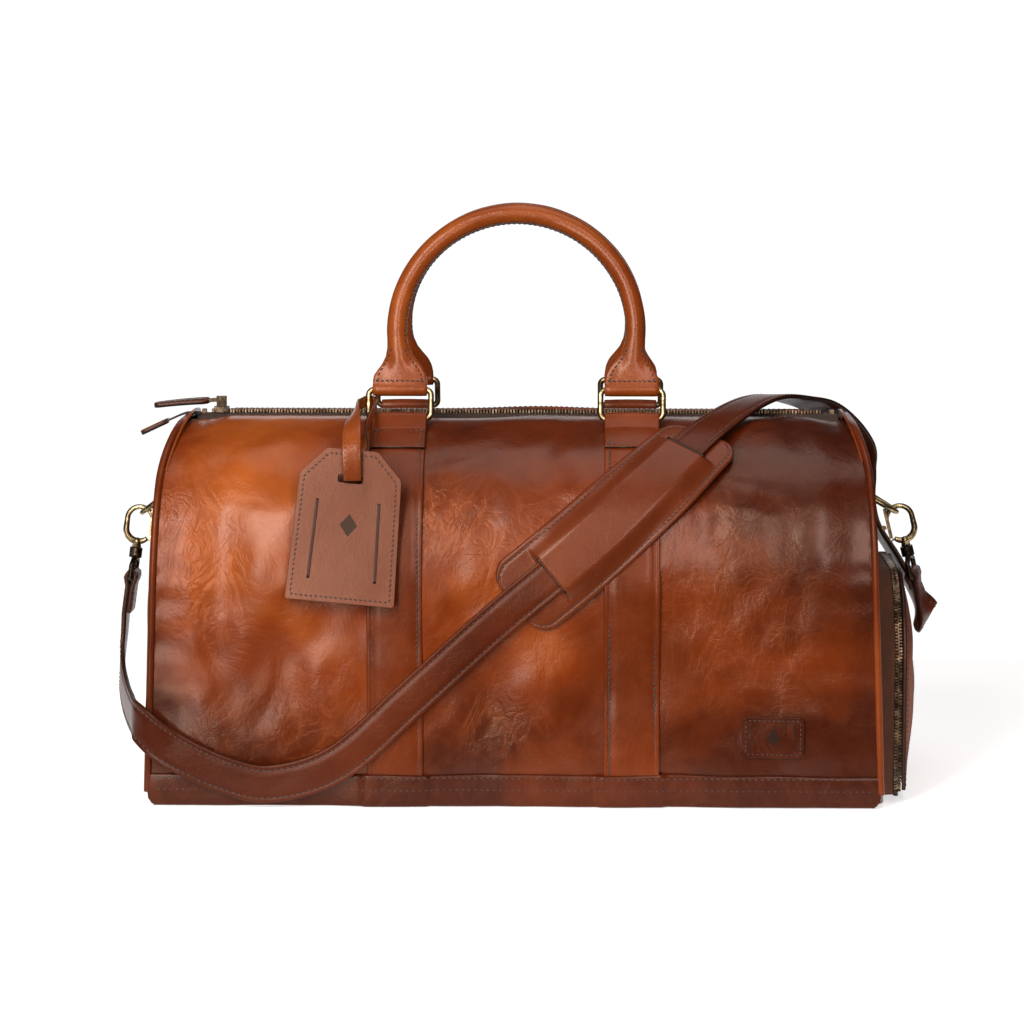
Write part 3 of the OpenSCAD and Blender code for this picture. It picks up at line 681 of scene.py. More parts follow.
def body_panel(side, name):
    top = s_at_y(ZIP_EDGE)
    s = np.concatenate([top + np.array([0.0, 0.0005, 0.0014]), np.linspace(top + 0.003, s_at_z(FOOT_Z), 135)])
    lip = np.zeros((len(s), 1))
    lip[:2, 0] = (-0.0009, -0.0002)
    z = np.interp(s, LENGTHS, HEIGHTS)
    x = np.sin(np.linspace(-0.5, 0.5, 240) * math.pi)[None, :] * (end_x(z)[:, None] - 0.0004)
    outer = skin(x, s[:, None], lip, side)
    inner = skin(x, s[:, None], -LEATHER, side)
    piece = sheet(name, outer, inner, (TAN, EDGE))
    spots = np.concatenate([outer, inner]).reshape(-1, 3)
    set_tone(piece, body_light_and_shade(spots[:, 0], spots[:, 2], side), body_creases(spots[:, 0], spots[:, 2], side))
    place(piece, "bag", "tan_leather", name)
    row = np.linspace(-0.218, 0.218, 200)
    seams.sew("bag", THREAD_TAN, skin(row, top + ZIP_INSET, 0, side),
              skin_normal(np.full(200, top + ZIP_INSET), side))


def outline_ring(off, count):
    """Points (y, z) round the outline from the front foot over the top to the back foot."""
    reach = s_at_z(FOOT_Z)
    s = np.linspace(-reach, reach, count)
    y = np.interp(np.abs(s), LENGTHS, DEPTHS) + off * np.interp(np.abs(s), LENGTHS, NORMAL_Y)
    z = np.interp(np.abs(s), LENGTHS, HEIGHTS) + off * np.interp(np.abs(s), LENGTHS, NORMAL_Z)
    return np.sign(s) * y, z


END_SWELL = 0.0095
END_MID_Z = 0.125
TAB_Z = 0.199


def tab_dent(y, z):
    """1 where the clip tab holds the end leather in, falling to 0 round it."""
    return smooth(0.034, 0.017, np.abs(y)) * smooth(0.170, 0.186, z) * smooth(0.236, 0.224, z)


def left_end():
    y, z = outline_ring(-0.0006, 170)
    foot = np.linspace(y[-1], y[0], 60)[1:-1]
    y, z = np.concatenate([y, foot]), np.concatenate([z, np.full(len(foot), FOOT_Z)])
    rho = np.linspace(0.02, 1.0, 44)
    yy = rho[:, None] * y
    zz = END_MID_Z + rho[:, None] * (z - END_MID_Z)
    swell = END_SWELL * (1 - rho[:, None] ** 7) * (1 - tab_dent(yy, zz))
    swell = swell + 0.0009 * waves(yy, zz, 0.06, 21) * (1 - rho[:, None] ** 4) * (1 - tab_dent(yy, zz))
    x = -(end_x(zz) - END_IN + swell)
    outer = np.stack([x, yy, zz], -1)
    inner = outer + np.array([LEATHER, 0, 0])
    piece = sheet("left_end_panel", outer, inner, (TAN, EDGE), 0, True)
    # painted light: the left end is paler, facing the light; painted shade darkens it near the foot
    set_tone(piece, np.tile((0.56 - 0.2 * smooth(0.07, 0.01, zz)).ravel(), 2))
    place(piece, "bag", "tan_leather", "left_end_panel")


SHOE_W = 0.096
SHOE_H = 0.152
SHOE_R = 0.060


def shoe_arch(off, count, z_low=0.006):
    """Points (y, z) along the shoe opening, evenly from the front foot over the top to the back foot."""
    turn = np.radians(np.linspace(180, 90, 20))
    left = np.stack([-(SHOE_W - SHOE_R) + (SHOE_R + off) * np.cos(turn),
                     SHOE_H - SHOE_R + (SHOE_R + off) * np.sin(turn)], -1)
    right = left[::-1] * np.array([-1, 1])
    foot = np.array([[-SHOE_W - off, z_low]])
    points = np.concatenate([foot, left, right, foot * np.array([-1, 1])])
    length = np.concatenate([[0.0], np.cumsum(np.linalg.norm(np.diff(points, axis=0), axis=1))])
    at = np.linspace(0.0, length[-1], count)
    return np.interp(at, length, points[:, 0]), np.interp(at, length, points[:, 1])


def right_end():
    count = 170
    y1, z1 = outline_ring(-0.0006, count)
    y0, z0 = shoe_arch(0.0006, count, FOOT_Z)
    k = np.linspace(0.0, 1.0, 26)[:, None]
    yy, zz = y0 + (y1 - y0) * k, z0 + (z1 - z0) * k
    swell = 0.0045 * np.sin(math.pi * np.clip(k, 0, 1)) ** 0.6 * (1 - tab_dent(yy, zz))
    swell = swell + 0.0006 * waves(yy, zz, 0.05, 31) * np.sin(math.pi * k) * (1 - tab_dent(yy, zz))
    outer = np.stack([end_x(zz) - END_IN + swell, yy, zz], -1)
    piece = sheet("right_end_panel", outer, outer - np.array([LEATHER, 0, 0]), (TAN, EDGE))
    # painted shade: the right end is darker, turned from the light, and darker still near the foot
    set_tone(piece, np.tile((0.42 - 0.16 * smooth(0.07, 0.01, zz)).ravel(), 2))
    place(piece, "bag", "tan_leather", "right_end_panel")
    line_y, line_z = shoe_arch(0.0045, 300)
    line = np.stack([end_x(line_z) + 0.0030, line_y, line_z], -1)
    seams.sew("bag", THREAD_TAN, line, np.tile([1.0, 0, 0], (300, 1)))


PIPE_R = 0.0024
PIPE_DIP = 0.008
PIPE_OUT = PIPE_R - 0.0012


def piping(end, name):
    s = np.linspace(-s_at_z(0.010), s_at_z(0.010), 260)
    y = np.interp(np.abs(s), LENGTHS, DEPTHS)
    arch = np.degrees(np.arccos(np.clip((y / HALF_DEPTH) ** (ARCH_N / 2), 0, 1)))
    above = np.interp(np.abs(s), LENGTHS, HEIGHTS) > ARCH_Z
    out = 0.001 - PIPE_DIP * np.where(above, np.sin(np.radians(arch)), 0.0) ** 14
    y = y + out * np.interp(np.abs(s), LENGTHS, NORMAL_Y)
    z = np.interp(np.abs(s), LENGTHS, HEIGHTS) + out * np.interp(np.abs(s), LENGTHS, NORMAL_Z)
    points = np.stack([end * (end_x(z) + PIPE_OUT), np.sign(s) * y, z], -1)
    normals = np.tile([float(end), 0.0, 0.0], (len(s), 1))
    turn = np.linspace(0, 2 * math.pi, 14, endpoint=False)
    section = np.stack([PIPE_R * np.cos(turn), PIPE_R * np.sin(turn)], -1)
    verts, faces = sweep(points, normals, np.tile(section, (len(s), 1, 1)))
    piece = mesh_piece(name, verts, faces, (BAND_TAN,))
    even_tone(piece, 0.45)
    place(piece, "bag", "dark_leather", name)


BAND_CORNER = 0.007


def over_bands(x):
    """How far a sheet lifts to pass over the vertical bands."""
    return 0.0022 * (1 - smooth(0.0195, 0.0250, np.abs(np.abs(x) - RING_SPAN / 2)))


def base_band(side, name):
    across = np.array([0.0, 0.0006, 0.0016, 0.005, 0.009, 0.013, 0.017, 0.0195, 0.0208, 0.0215, 0.0219])
    thick = np.array([0.0008, 0.0018, 0.0020, 0.0020, 0.0022, 0.0022, 0.0021, 0.0020, 0.0019, 0.0015, 0.0008])
    corner = BAND_CORNER * (1 - np.sqrt(1 - np.clip(1 - across / BAND_CORNER, 0, 1) ** 2))
    x = np.linspace(-1, 1, 320)[None, :] * (HALF_LENGTH + 0.0005 - corner[:, None])
    wave = 0.0006 * waves(x, 0.0, 0.07, 41)
    z = 0.0008 + across[:, None] * (1 + wave / 0.022)
    s = s_at_z(z)
    off = 0.0003 + over_bands(x)
    outer = skin(x, s, off + thick[:, None], side)
    inner = skin(x, s, off, side)
    piece = sheet(name, outer, inner, (BAND_TAN, EDGE), 1)
    # painted shade: dark along the foot; painted light: paler towards the front band's left end, mirrored on
    # the back band
    set_tone(piece, np.tile((0.16 + 0.20 * smooth(-0.05, -0.2, side * -x) + 0 * z).ravel(), 2))
    place(piece, "bag", "tan_leather", name)
    row = np.linspace(-0.238, 0.238, 300)
    for z_row in (0.0203, 0.0122):
        ss = s_at_z(np.full(300, z_row))
        seams.sew("bag", THREAD_TAN, skin(row, ss, 0.0022 + over_bands(row), side), skin_normal(ss, side),
                  0.0042, 0.0030)


def base_panel():
    x = np.linspace(-0.242, 0.242, 60)[None, :]
    y = np.linspace(-0.1155, 0.1155, 30)[:, None]
    low = 0.0004 + 0.0003 * (1 + waves(x, y, 0.1, 51)) * (1 - (x / 0.245) ** 6)
    low = np.maximum(low, 0.0)
    outer = np.stack([x + 0 * y, y + 0 * x, low], -1)
    inner = outer * np.array([1, 1, 0]) + np.array([0, 0, 0.0030])
    piece = sheet("base_panel", outer, inner, (BAND_TAN, EDGE))
    even_tone(piece, 0.32)
    place(piece, "bag", "tan_leather", "base_panel")


BAND_TOP_Y = 0.074


def band_line(x, s0, s1, off, side):
    s = np.linspace(s0, s1, int((s1 - s0) / 0.003))
    return skin(np.full(len(s), x), s, off, side), skin_normal(s, side), s


def vertical_band(side, end, name):
    x = end * RING_SPAN / 2
    line, normals, s = band_line(x, s_at_y(BAND_TOP_Y), s_at_z(FOOT_Z), 0.0013, side)
    piece = strip(name, line, normals, BAND_W, BAND_T, (BAND_TAN, EDGE), BAND_INSET, 0.0005)
    # painted shade: the band darkens from its top towards its foot, as the body does low down
    shade_to_foot = np.repeat(np.interp(s, [s[0], s[-1]], [0.55, 0.36]), len(piece.data.vertices) // len(s))
    set_tone(piece, shade_to_foot)
    place(piece, "bag", "tan_leather", name)
    for edge in (-1, 1):
        offset = skin(np.full(len(s), x + edge * (BAND_W / 2 - BAND_INSET)), s, 0.0023, side)
        seams.sew("bag", THREAD_TAN, offset[1:-1], normals[1:-1])
    row = np.linspace(x - BAND_W / 2 + 0.005, x + BAND_W / 2 - 0.005, 24)
    ss = np.full(24, s[0] + 0.003)
    seams.sew("bag", THREAD_TAN, skin(row, ss, 0.0025, side), skin_normal(ss, side))


def lining(side):
    """One half of the lining, lying just inside the leather."""
    s = np.linspace(s_at_y(0.012), s_at_z(0.008), 90)[:, None]
    z = np.interp(s, LENGTHS, HEIGHTS)
    low, high = -(end_x(z) - 0.005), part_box("lining")[1][0]
    x = low + (high - low) * np.linspace(0, 1, 90)[None, :]
    outer = skin(x, s, -LEATHER - 0.0006, side)
    inner = skin(x, s, -LEATHER - 0.0016, side)
    piece = sheet(f"lining_{'front' if side < 0 else 'back'}", outer, inner, CLOTH)
    place(piece, "bag", "lining_cloth", "lining")


lining(-1)
lining(1)
body_panel(-1, "front_panel")
body_panel(1, "back_panel")
left_end()
right_end()
piping(-1, "left_piping")
piping(1, "right_piping")
base_band(-1, "front_base_band")
base_band(1, "back_base_band")
base_panel()
for side, face in ((-1, "front"), (1, "back")):
    for end, way in ((-1, "left"), (1, "right")):
        vertical_band(side, end, f"{face}_{way}_band")

# ---- rings and handles ----

RING_Y = 0.049
RING_LIFT = 0.0057
RING_H = 0.020
BOW_Z = 0.0615
BOW_R = 0.0815
HANDLE_LEAN = math.radians(16)
SLEEVE_MID = 0.0033
PIVOT_S = s_at_y(RING_Y)
PIVOT_Y = -RING_Y - RING_LIFT * 0.33
PIVOT_Z = float(np.interp(PIVOT_S, LENGTHS, HEIGHTS)) + RING_LIFT * 0.94
LEAN = np.array([[1, 0, 0],
                 [0, math.cos(HANDLE_LEAN), math.sin(HANDLE_LEAN)],
                 [0, -math.sin(HANDLE_LEAN), math.cos(HANDLE_LEAN)]])


def at_ring(points, side):
    """Carries points drawn round the lower ring bar to the ring's place and lean."""
    moved = np.asarray(points, float) @ LEAN.T + np.array([0, PIVOT_Y, PIVOT_Z])
    return moved * np.array([1, -side, 1])


def turn_only(vectors, side):
    return (np.asarray(vectors, float) @ LEAN.T) * np.array([1, -side, 1])


def dress(material, *nodes):
    """Gives CAD nodes that keep their shape a finished material."""
    for node in nodes:
        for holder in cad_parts[node].material_slots:
            holder.material = material


# Distances from the zip line of the chape's sewn tab and of its two cross rows of stitches
TAB_Y = (0.0772, 0.0585)
TAB_ROWS = (0.0752, 0.0615)
TAB_INSET = 0.003
TAB_SEAM = 0.0043


def chape(side, end, name):
    x = end * RING_SPAN / 2
    s_tab = np.linspace(s_at_y(TAB_Y[0]), s_at_y(TAB_Y[1]), 14)
    tab = skin(np.full(14, x), s_tab, 0.0033, side)
    tab_normals = skin_normal(s_tab, side)
    pivot = np.array([x, side * -PIVOT_Y, PIVOT_Z])
    out = np.array([0, side * 0.33, 0.94])
    down = np.array([0, side * 0.94, -0.33])
    turn = np.radians(np.linspace(35, 235, 16))
    around = np.array([down * math.cos(a) + out * math.sin(a) for a in turn])
    loop = pivot + SLEEVE_MID * around
    under = skin(np.full(3, x), np.array([s_at_y(0.050), s_at_y(0.055), s_at_y(0.060)]), 0.0011, side)
    points = np.concatenate([tab, loop, under])
    normals = np.concatenate([tab_normals, around, -skin_normal(np.full(3, PIVOT_S), side)])
    points, normals = evenly(points, 0.0014, normals)
    piece = strip(name, points, unit(normals), BAND_W, BAND_T, (BAND_TAN, EDGE), 0.0, 0.0004)
    even_tone(piece, 0.50)
    place(piece, "bag", "tan_leather", name)
    for s_row in (s_at_y(TAB_ROWS[0]), s_at_y(TAB_ROWS[1])):
        row = np.linspace(x - BAND_W / 2 + TAB_INSET, x + BAND_W / 2 - TAB_INSET, 24)
        ss = np.full(24, s_row)
        seams.sew("bag", THREAD_TAN, skin(row, ss, TAB_SEAM, side), skin_normal(ss, side))
    for edge in (-1, 1):
        ss = np.linspace(s_at_y(TAB_ROWS[0]), s_at_y(TAB_ROWS[1]), 20)
        line = skin(np.full(20, x + edge * (BAND_W / 2 - TAB_INSET)), ss, TAB_SEAM, side)
        seams.sew("bag", THREAD_TAN, line, skin_normal(ss, side))


# Sections up the handle's leg: height, width, thickness at the edge, bulge of the roll, roundness
FLARE = np.array([
    (0.0205, 0.0368, 0.0078, 0.0000, 8.0), (0.0230, 0.0370, 0.0066, 0.0004, 8.0),
    (0.0260, 0.0369, 0.0058, 0.0010, 7.5),
    (0.0300, 0.0352, 0.0052, 0.0018, 6.5), (0.0345, 0.0305, 0.0052, 0.0024, 5.0),
    (0.0390, 0.0240, 0.0064, 0.0024, 3.6),
    (0.0440, 0.0180, 0.0092, 0.0014, 2.7), (0.0500, 0.0146, 0.0120, 0.0004, 2.2),
    (0.0560, 0.0138, 0.0132, 0.0000, 2.0),
    (0.0620, 0.0140, 0.0140, 0.0000, 2.0),
])


ROLL_R = 0.0070
HANDLE_INSET = 0.0032
HANDLE_SEAM_Z = 0.0255


def handle_section(width, thick, bulge, power):
    turn = np.linspace(0, 2 * math.pi, 44, endpoint=False)
    x = width / 2 * np.sign(np.cos(turn)) * np.abs(np.cos(turn)) ** (2 / power)
    y = thick / 2 * np.sign(np.sin(turn)) * np.abs(np.sin(turn)) ** (2 / power)
    y = y + np.sign(np.sin(turn)) * bulge * np.exp(-(x / 0.0052) ** 2)
    return np.stack([x, y], -1)


def handle_path():
    """Middle line of the handle from the left ring over the bow to the right ring."""
    up = np.linspace(0.0205, BOW_Z, 34)
    lean_out = BOW_R - RING_SPAN / 2
    left = np.stack([-(RING_SPAN / 2 + lean_out * smooth(0.030, BOW_Z, up)), 0 * up, up], -1)
    turn = np.radians(np.linspace(180, 0, 150)[1:-1])
    # the bow wavers a little from front to back
    bow = np.stack([BOW_R * np.cos(turn), 0.0010 * np.sin(3 * turn), BOW_Z + BOW_R * np.sin(turn)], -1)
    return np.concatenate([left, bow, left[::-1] * np.array([-1, 1, 1])])


def handle(side, face):
    body = f"{face}_handle"
    points = handle_path()
    heights = np.minimum(points[:, 2], FLARE[-1, 0])
    columns = [np.interp(heights, FLARE[:, 0], FLARE[:, k]) for k in range(1, 5)]
    sections = np.array([handle_section(*values) for values in zip(*columns)])
    turn = np.linspace(0, 2 * math.pi, sections.shape[1], endpoint=False)
    roll = smooth(0.046, 0.060, points[:, 2])
    groove = np.exp(-(np.minimum(turn, 2 * math.pi - turn) / 0.11) ** 2)
    sections = sections * (1 - 0.10 * roll[:, None, None] * groove[None, :, None])
    wrinkle = 1 + 0.006 * waves(np.arange(len(points))[:, None] * 0.002, turn[None, :] * 0.007, 0.02, 61)
    sections = sections * wrinkle[..., None]
    normals = np.tile([0.0, -1.0, 0.0], (len(points), 1))
    verts, faces = sweep(points, normals, sections)
    m = sections.shape[1]
    slots = np.zeros(len(faces), np.int32)
    column = np.arange(len(faces)) % m
    bow_row = roll[np.minimum(np.arange(len(faces)) // m, len(points) - 1)] > 0.5
    slots[bow_row & np.isin(column, (m - 1, 0))] = 1
    start = len(verts)
    sleeve_verts, sleeve_faces = [], []
    for end in (-1, 1):
        v, f = sleeve(end * RING_SPAN / 2, RING_H, start)
        sleeve_verts.append(v)
        sleeve_faces += f
        start += len(v)
    verts = np.concatenate([verts] + sleeve_verts)
    slots = np.concatenate([slots, np.zeros(len(sleeve_faces), np.int32)])
    piece = mesh_piece(body, at_ring(verts, side), faces + sleeve_faces, (HANDLE_TAN, EDGE), slots)
    even_tone(piece, 0.5)
    place(piece, body, "tan_leather", body)
    sew_handle(side, body, points)


def sleeve(x, z, start):
    """Round leather fold over a ring bar: an outer and an inner tube with rounded ends."""
    half = BAND_W / 2
    profile = [(-half, 0.0026), (-half, 0.0038), (-half + 0.0006, 0.0043), (-half + 0.004, 0.00445),
               (half - 0.004, 0.00445), (half - 0.0006, 0.0043), (half, 0.0038), (half, 0.0026),
               (half - 0.004, 0.0023), (-half + 0.004, 0.0023)]
    turn = np.linspace(0, 2 * math.pi, 28, endpoint=False)
    verts = np.array([(x + dx, r * math.cos(a), z + r * math.sin(a)) for a in turn for dx, r in profile])
    return verts, grid_faces(len(turn), len(profile), True, True, start)


def sew_handle(side, body, points):
    low = points[:, 2] < 0.052
    legs = [np.where(low & (points[:, 0] < 0))[0], np.where(low & (points[:, 0] > 0))[0]]
    front = turn_only([[0, -1, 0]], side)[0]
    for leg in legs:
        centre, width = points[leg], np.interp(points[leg, 2], FLARE[:, 0], FLARE[:, 1])
        thick = np.interp(points[leg, 2], FLARE[:, 0], FLARE[:, 2])
        keep = (points[leg, 2] > HANDLE_SEAM_Z) & (width > 0.016)
        for edge in (-1, 1):
            inset = width / 2 - HANDLE_INSET
            line = centre + np.stack([edge * inset, -(thick / 2 + 0.0001), 0 * width], -1)
            seams.sew(body, THREAD_TAN, at_ring(line[keep], side), np.tile(front, (keep.sum(), 1)))
        middle = centre[0, 0] if abs(centre[0, 0]) < abs(centre[-1, 0]) else centre[-1, 0]
        row = np.linspace(-BAND_W / 2 + HANDLE_INSET, BAND_W / 2 - HANDLE_INSET, 24)
        line = np.stack([middle + row, np.full(24, -0.0034) - 0.0006 * np.exp(-(row / 0.0052) ** 2),
                         np.full(24, HANDLE_SEAM_Z)], -1)
        seams.sew(body, THREAD_TAN, at_ring(line, side), np.tile(front, (24, 1)))
    bow = points[points[:, 2] > 0.050]
    inward = unit(np.array([0, 0, BOW_Z]) - bow)
    for y in (-0.0030, 0.0030):
        depth = math.sqrt(ROLL_R ** 2 - y ** 2)
        line = bow + inward * depth + np.array([0, y, 0])
        out = unit(inward * depth + np.array([0, y, 0]))
        seams.sew(body, THREAD_TAN, at_ring(line, side), turn_only(out, side))


for side, face in ((-1, "front"), (1, "back")):
    for end, way in ((-1, "left"), (1, "right")):
        chape(side, end, f"{face}_{way}_chape")
    handle(side, face)
dress(BRASS, "front_left_ring", "front_right_ring", "back_left_ring", "back_right_ring")
dress(ROPE, "front_handle_core", "back_handle_core")

# ---- main zip ----

TAPE_Z = 0.2538
ZIP_HALF = 0.222
TOOTH_PITCH = 0.0021


def box_verts(lo, hi):
    return [(x, y, z) for x in (lo[0], hi[0]) for y in (lo[1], hi[1]) for z in (lo[2], hi[2])]


BOX_FACES = ((0, 1, 3, 2), (4, 6, 7, 5), (0, 4, 5, 1), (2, 3, 7, 6), (0, 2, 6, 4), (1, 5, 7, 3))


def boxes(name, corners, material):
    verts, faces = [], []
    for lo, hi in corners:
        start = len(verts)
        verts += box_verts(lo, hi)
        faces += [tuple(start + k for k in f) for f in BOX_FACES]
    return mesh_piece(name, verts, faces, material, None, True)


def main_zip():
    teeth = []
    count = int((2 * ZIP_HALF - 0.018) / TOOTH_PITCH)
    for k in range(count):
        x = -ZIP_HALF + 0.009 + k * TOOTH_PITCH
        y0, y1 = (-0.0030, 0.0006) if k % 2 else (-0.0006, 0.0030)
        teeth.append(((x, y0, TAPE_Z + 0.0009), (x + 0.0016, y1, TAPE_Z + 0.0036)))
    piece = boxes("zip_teeth", teeth, TEETH)
    add(piece, "BEVEL", "soften", width=0.0003, segments=1)
    place(piece, "bag", "zip_metal", "zip_teeth")
    x = np.linspace(-ZIP_HALF, ZIP_HALF, 160)[:, None]
    for side in (-1, 1):
        y = np.array([0.0010, 0.0028, 0.0045, 0.0075, 0.0105, 0.0128])[None, :]
        drop = 0.0004 * waves(x, 0.0, 0.04, 71) - np.interp(y, [0.0028, 0.0128],
                                                            [0.0, 0.0042 if side < 0 else 0.0010])
        z = TAPE_Z + 0.0010 + np.where(y > 0.003, drop, 0.0)
        top = np.stack([x + 0 * y, side * (y + 0 * x), z + 0 * x], -1)
        piece = sheet(f"zip_tape_{'front' if side < 0 else 'back'}", top, top - np.array([0, 0, 0.0008]),
                      TAPE)
        place(piece, "bag", "zip_tape", "zip_tapes")


def zip_tail():
    """The end of the tape, loose over the bag's left end, with a folded leather cap sewn on."""
    line = np.array([(-0.2200, 0, 0.2543), (-0.2270, 0, 0.2545), (-0.2320, 0, 0.2541), (-0.2400, 0, 0.2508),
                     (-0.2458, 0, 0.2481)])
    points = curve_points(line, 6)
    piece = strip("zip_tail", points, np.tile([0.0, 0.0, 1.0], (len(points), 1)), 0.015, 0.0010,
                  (TAPE, TAPE), 0.0)
    place(piece, "bag", "zip_tape", "zip_tail")
    cap = curve_points([(-0.2440, 0, 0.2489), (-0.2520, 0, 0.2452), (-0.2618, 0, 0.2406)], 8)
    normals = np.tile([0.0, 0.0, 1.0], (len(cap), 1))
    piece = strip("zip_tail_cap", cap, normals, 0.0152, 0.0032, (HANDLE_TAN, EDGE), 0.0026, 0.0003, False,
                  0.003)
    even_tone(piece, 0.30)
    place(piece, "bag", "dark_leather", "zip_tail_cap")
    for edge in (-1, 1):
        line = cap + np.array([0.0004, edge * 0.0050, 0.0016])
        seams.sew("bag", THREAD_TAN, line[1:-2], normals[1:-2], 0.0032, 0.0022, 0.00035)


SLIDER_X = -0.206
HINGE_Z = BAG_H + 0.006
PULL_DROOP = math.radians(5)
LINK_L = 0.009
PULL_L = 0.038


def zip_pull():
    along = np.linspace(LINK_L - 0.0008, LINK_L + PULL_L, 30)
    turn = np.array([-math.cos(PULL_DROOP), 0, -math.sin(PULL_DROOP)])
    points = np.array([SLIDER_X, 0, HINGE_Z]) + along[:, None] * turn
    points[:, 2] += 0.0004 * np.sin(math.pi * (along - along[0]) / PULL_L)
    twist = np.interp(along, [along[0], along[-1]], [0.16, 0.08])
    normals = np.stack([0 * twist, -np.sin(twist), np.cos(twist)], -1)
    width = np.interp(along, [LINK_L, LINK_L + 0.004, LINK_L + PULL_L], [0.0100, 0.0120, 0.0120])
    piece = strip("zip_pull", points, normals, width, 0.0028, (HANDLE_TAN, EDGE), 0.0024, 0.0002, False,
                  0.0035)
    even_tone(piece, 0.20)
    place(piece, "zip_pull", "dark_leather", "zip_pull")
    across = np.stack([0 * twist, np.cos(twist), np.sin(twist)], -1)
    for edge in (-1, 1):
        line = points + across * edge * 0.0036 + normals * 0.0014
        seams.sew("zip_pull", THREAD_TAN, line[2:-3], normals[2:-3], 0.0034, 0.0024, 0.00036)


main_zip()
zip_tail()
zip_pull()
dress(DARK_METAL, "zip_slider", "zip_pull_link")
dress(TEETH, "zip_stops")

# ---- shoe compartment ----

SHOE_X = HALF_LENGTH + 0.0005
TEETH_X = SHOE_X + 0.010
DOOR_X = TEETH_X + 0.006
DOOR_FOOT = 0.009
DOOR_BULGE = 0.020


def arch_teeth(name, body, x0, x1, shift, z_low, node):
    y, z = shoe_arch(0.0, 2000, z_low)
    path, out = evenly(np.stack([0 * y, y, z], -1), TOOTH_PITCH,
                       np.stack([0 * y, *np.gradient(np.stack([y, z]), axis=1)], -1))
    along = unit(out)
    radial = np.stack([0 * along[:, 0], -along[:, 2], along[:, 1]], -1)
    verts, faces = [], []
    for p, t, r in zip(path, along, radial):
        start = len(verts)
        for dx in (x0, x1):
            for a in (-0.0008, 0.0008):
                for b in (-0.0014, 0.0014):
                    verts.append(p + t * (a + shift) + r * b + np.array([dx, 0, 0]))
        faces += [tuple(start + k for k in f) for f in BOX_FACES]
    piece = mesh_piece(name, verts, faces, DARK_TEETH, None, True)
    add(piece, "BEVEL", "soften", width=0.0003, segments=1)
    place(piece, body, "zip_metal", node)


def shoe_gusset():
    y0, z0 = shoe_arch(0.0004, 160)
    x = np.linspace(SHOE_X - 0.008, TEETH_X + 0.0006, 12)[:, None]
    bulge = np.sin(math.pi * np.linspace(0, 1, 12))[:, None]
    y1, z1 = shoe_arch(0.0014, 160)
    outer = np.stack([x + 0 * y0, y0 + (y1 - y0) * bulge, z0 + (z1 - z0) * bulge], -1)
    yi, zi = shoe_arch(-0.0006, 160)
    inner = np.stack([x + 0 * y0, yi + 0 * x, zi + 0 * x], -1)
    piece = sheet("shoe_zip_tape", outer, inner, GUSSET)
    place(piece, "bag", "zip_tape", "shoe_zip_tape")


def door_half(z):
    up = z - (SHOE_H - SHOE_R)
    return np.where(up < 0, SHOE_W, SHOE_W - SHOE_R + np.sqrt(np.clip(SHOE_R ** 2 - up * up, 0, None)))


def door_points(u, v, lift):
    z = DOOR_FOOT + (SHOE_H - DOOR_FOOT) * v
    swell = (1 - v ** 1.2) * (0.2 + 1.6 * v) * DOOR_BULGE * (1 - np.abs(u) ** 2.4)
    y = u * door_half(z)
    soft_part = 0.0007 * waves(y, z, 0.05, 81) * (1 - np.abs(u) ** 6) * (1 - v ** 6)
    return np.stack([DOOR_X + swell + lift + soft_part, y + 0 * z, z + 0 * u], -1)


def shoe_door():
    u = np.sin(np.linspace(-0.5, 0.5, 90) * math.pi)[None, :]
    v = np.concatenate([np.linspace(0, 0.9, 60), np.linspace(0.9, 1.0, 30)[1:]])[:, None]
    outer = door_points(u, v, LEATHER)
    inner = door_points(u, v, -0.0002)
    piece = sheet("shoe_door", outer, inner, (DOOR_TAN, EDGE), 1)
    # painted shade: the door on the right end is darker, more so near the foot
    set_tone(piece, np.tile((0.40 - 0.14 * smooth(0.05, 0.01, outer[..., 2])).ravel(), 2))
    place(piece, "shoe_door", "tan_leather", "shoe_door")
    line_y, line_z = shoe_arch(-0.0040, 240, 0.012)
    line_v = np.clip((line_z - DOOR_FOOT) / (SHOE_H - DOOR_FOOT), 0, 1)
    line = door_points(np.clip(line_y / door_half(line_z), -1, 1), line_v, LEATHER)
    seams.sew("shoe_door", THREAD_TAN, line, np.tile([1.0, 0, 0], (240, 1)))


arch_teeth("shoe_zip_teeth", "bag", TEETH_X + 0.0002, TEETH_X + 0.0034, 0.0, 0.006, "shoe_zip_teeth")
arch_teeth("shoe_door_teeth", "shoe_door", TEETH_X + 0.0020, TEETH_X + 0.0052, TOOTH_PITCH / 2, 0.008,
           "shoe_door_teeth")
shoe_gusset()
shoe_door()
dress(DARK_METAL, "shoe_slider")

# ---- clips at both ends ----

PIVOT_X = float(end_x(TAB_Z)) + 0.006
CLIP_TILT = (math.radians(8), math.radians(14))
EYE_TURN = (0.0, math.radians(-12))
EYE_Z = -0.062


HOOK_OUT = 0.018


def at_hook(points, end, k, turn=0.0):
    """Carries points drawn in the hook's frame to the clip at one end of the bag."""
    p = np.asarray(points, float)
    c, s = math.cos(turn), math.sin(turn)
    p = np.stack([p[:, 0] * c - p[:, 1] * s + HOOK_OUT, p[:, 0] * s + p[:, 1] * c, p[:, 2]], -1)
    c, s = math.cos(CLIP_TILT[k]), math.sin(CLIP_TILT[k])
    p = np.stack([p[:, 0] * c - p[:, 2] * s + PIVOT_X, p[:, 1], p[:, 0] * s + p[:, 2] * c + TAB_Z], -1)
    return p * np.array([end, 1, 1])


def tube(points, radii):
    """Verts and faces of a round tube along a line in the x, z plane, with a radius at each point."""
    turn = np.linspace(0, 2 * math.pi, 16, endpoint=False)
    ring = np.stack([np.cos(turn), np.sin(turn)], -1)
    return sweep(points, np.tile([0.0, 1.0, 0.0], (len(points), 1)),
                 np.asarray(radii)[:, None, None] * ring[None])


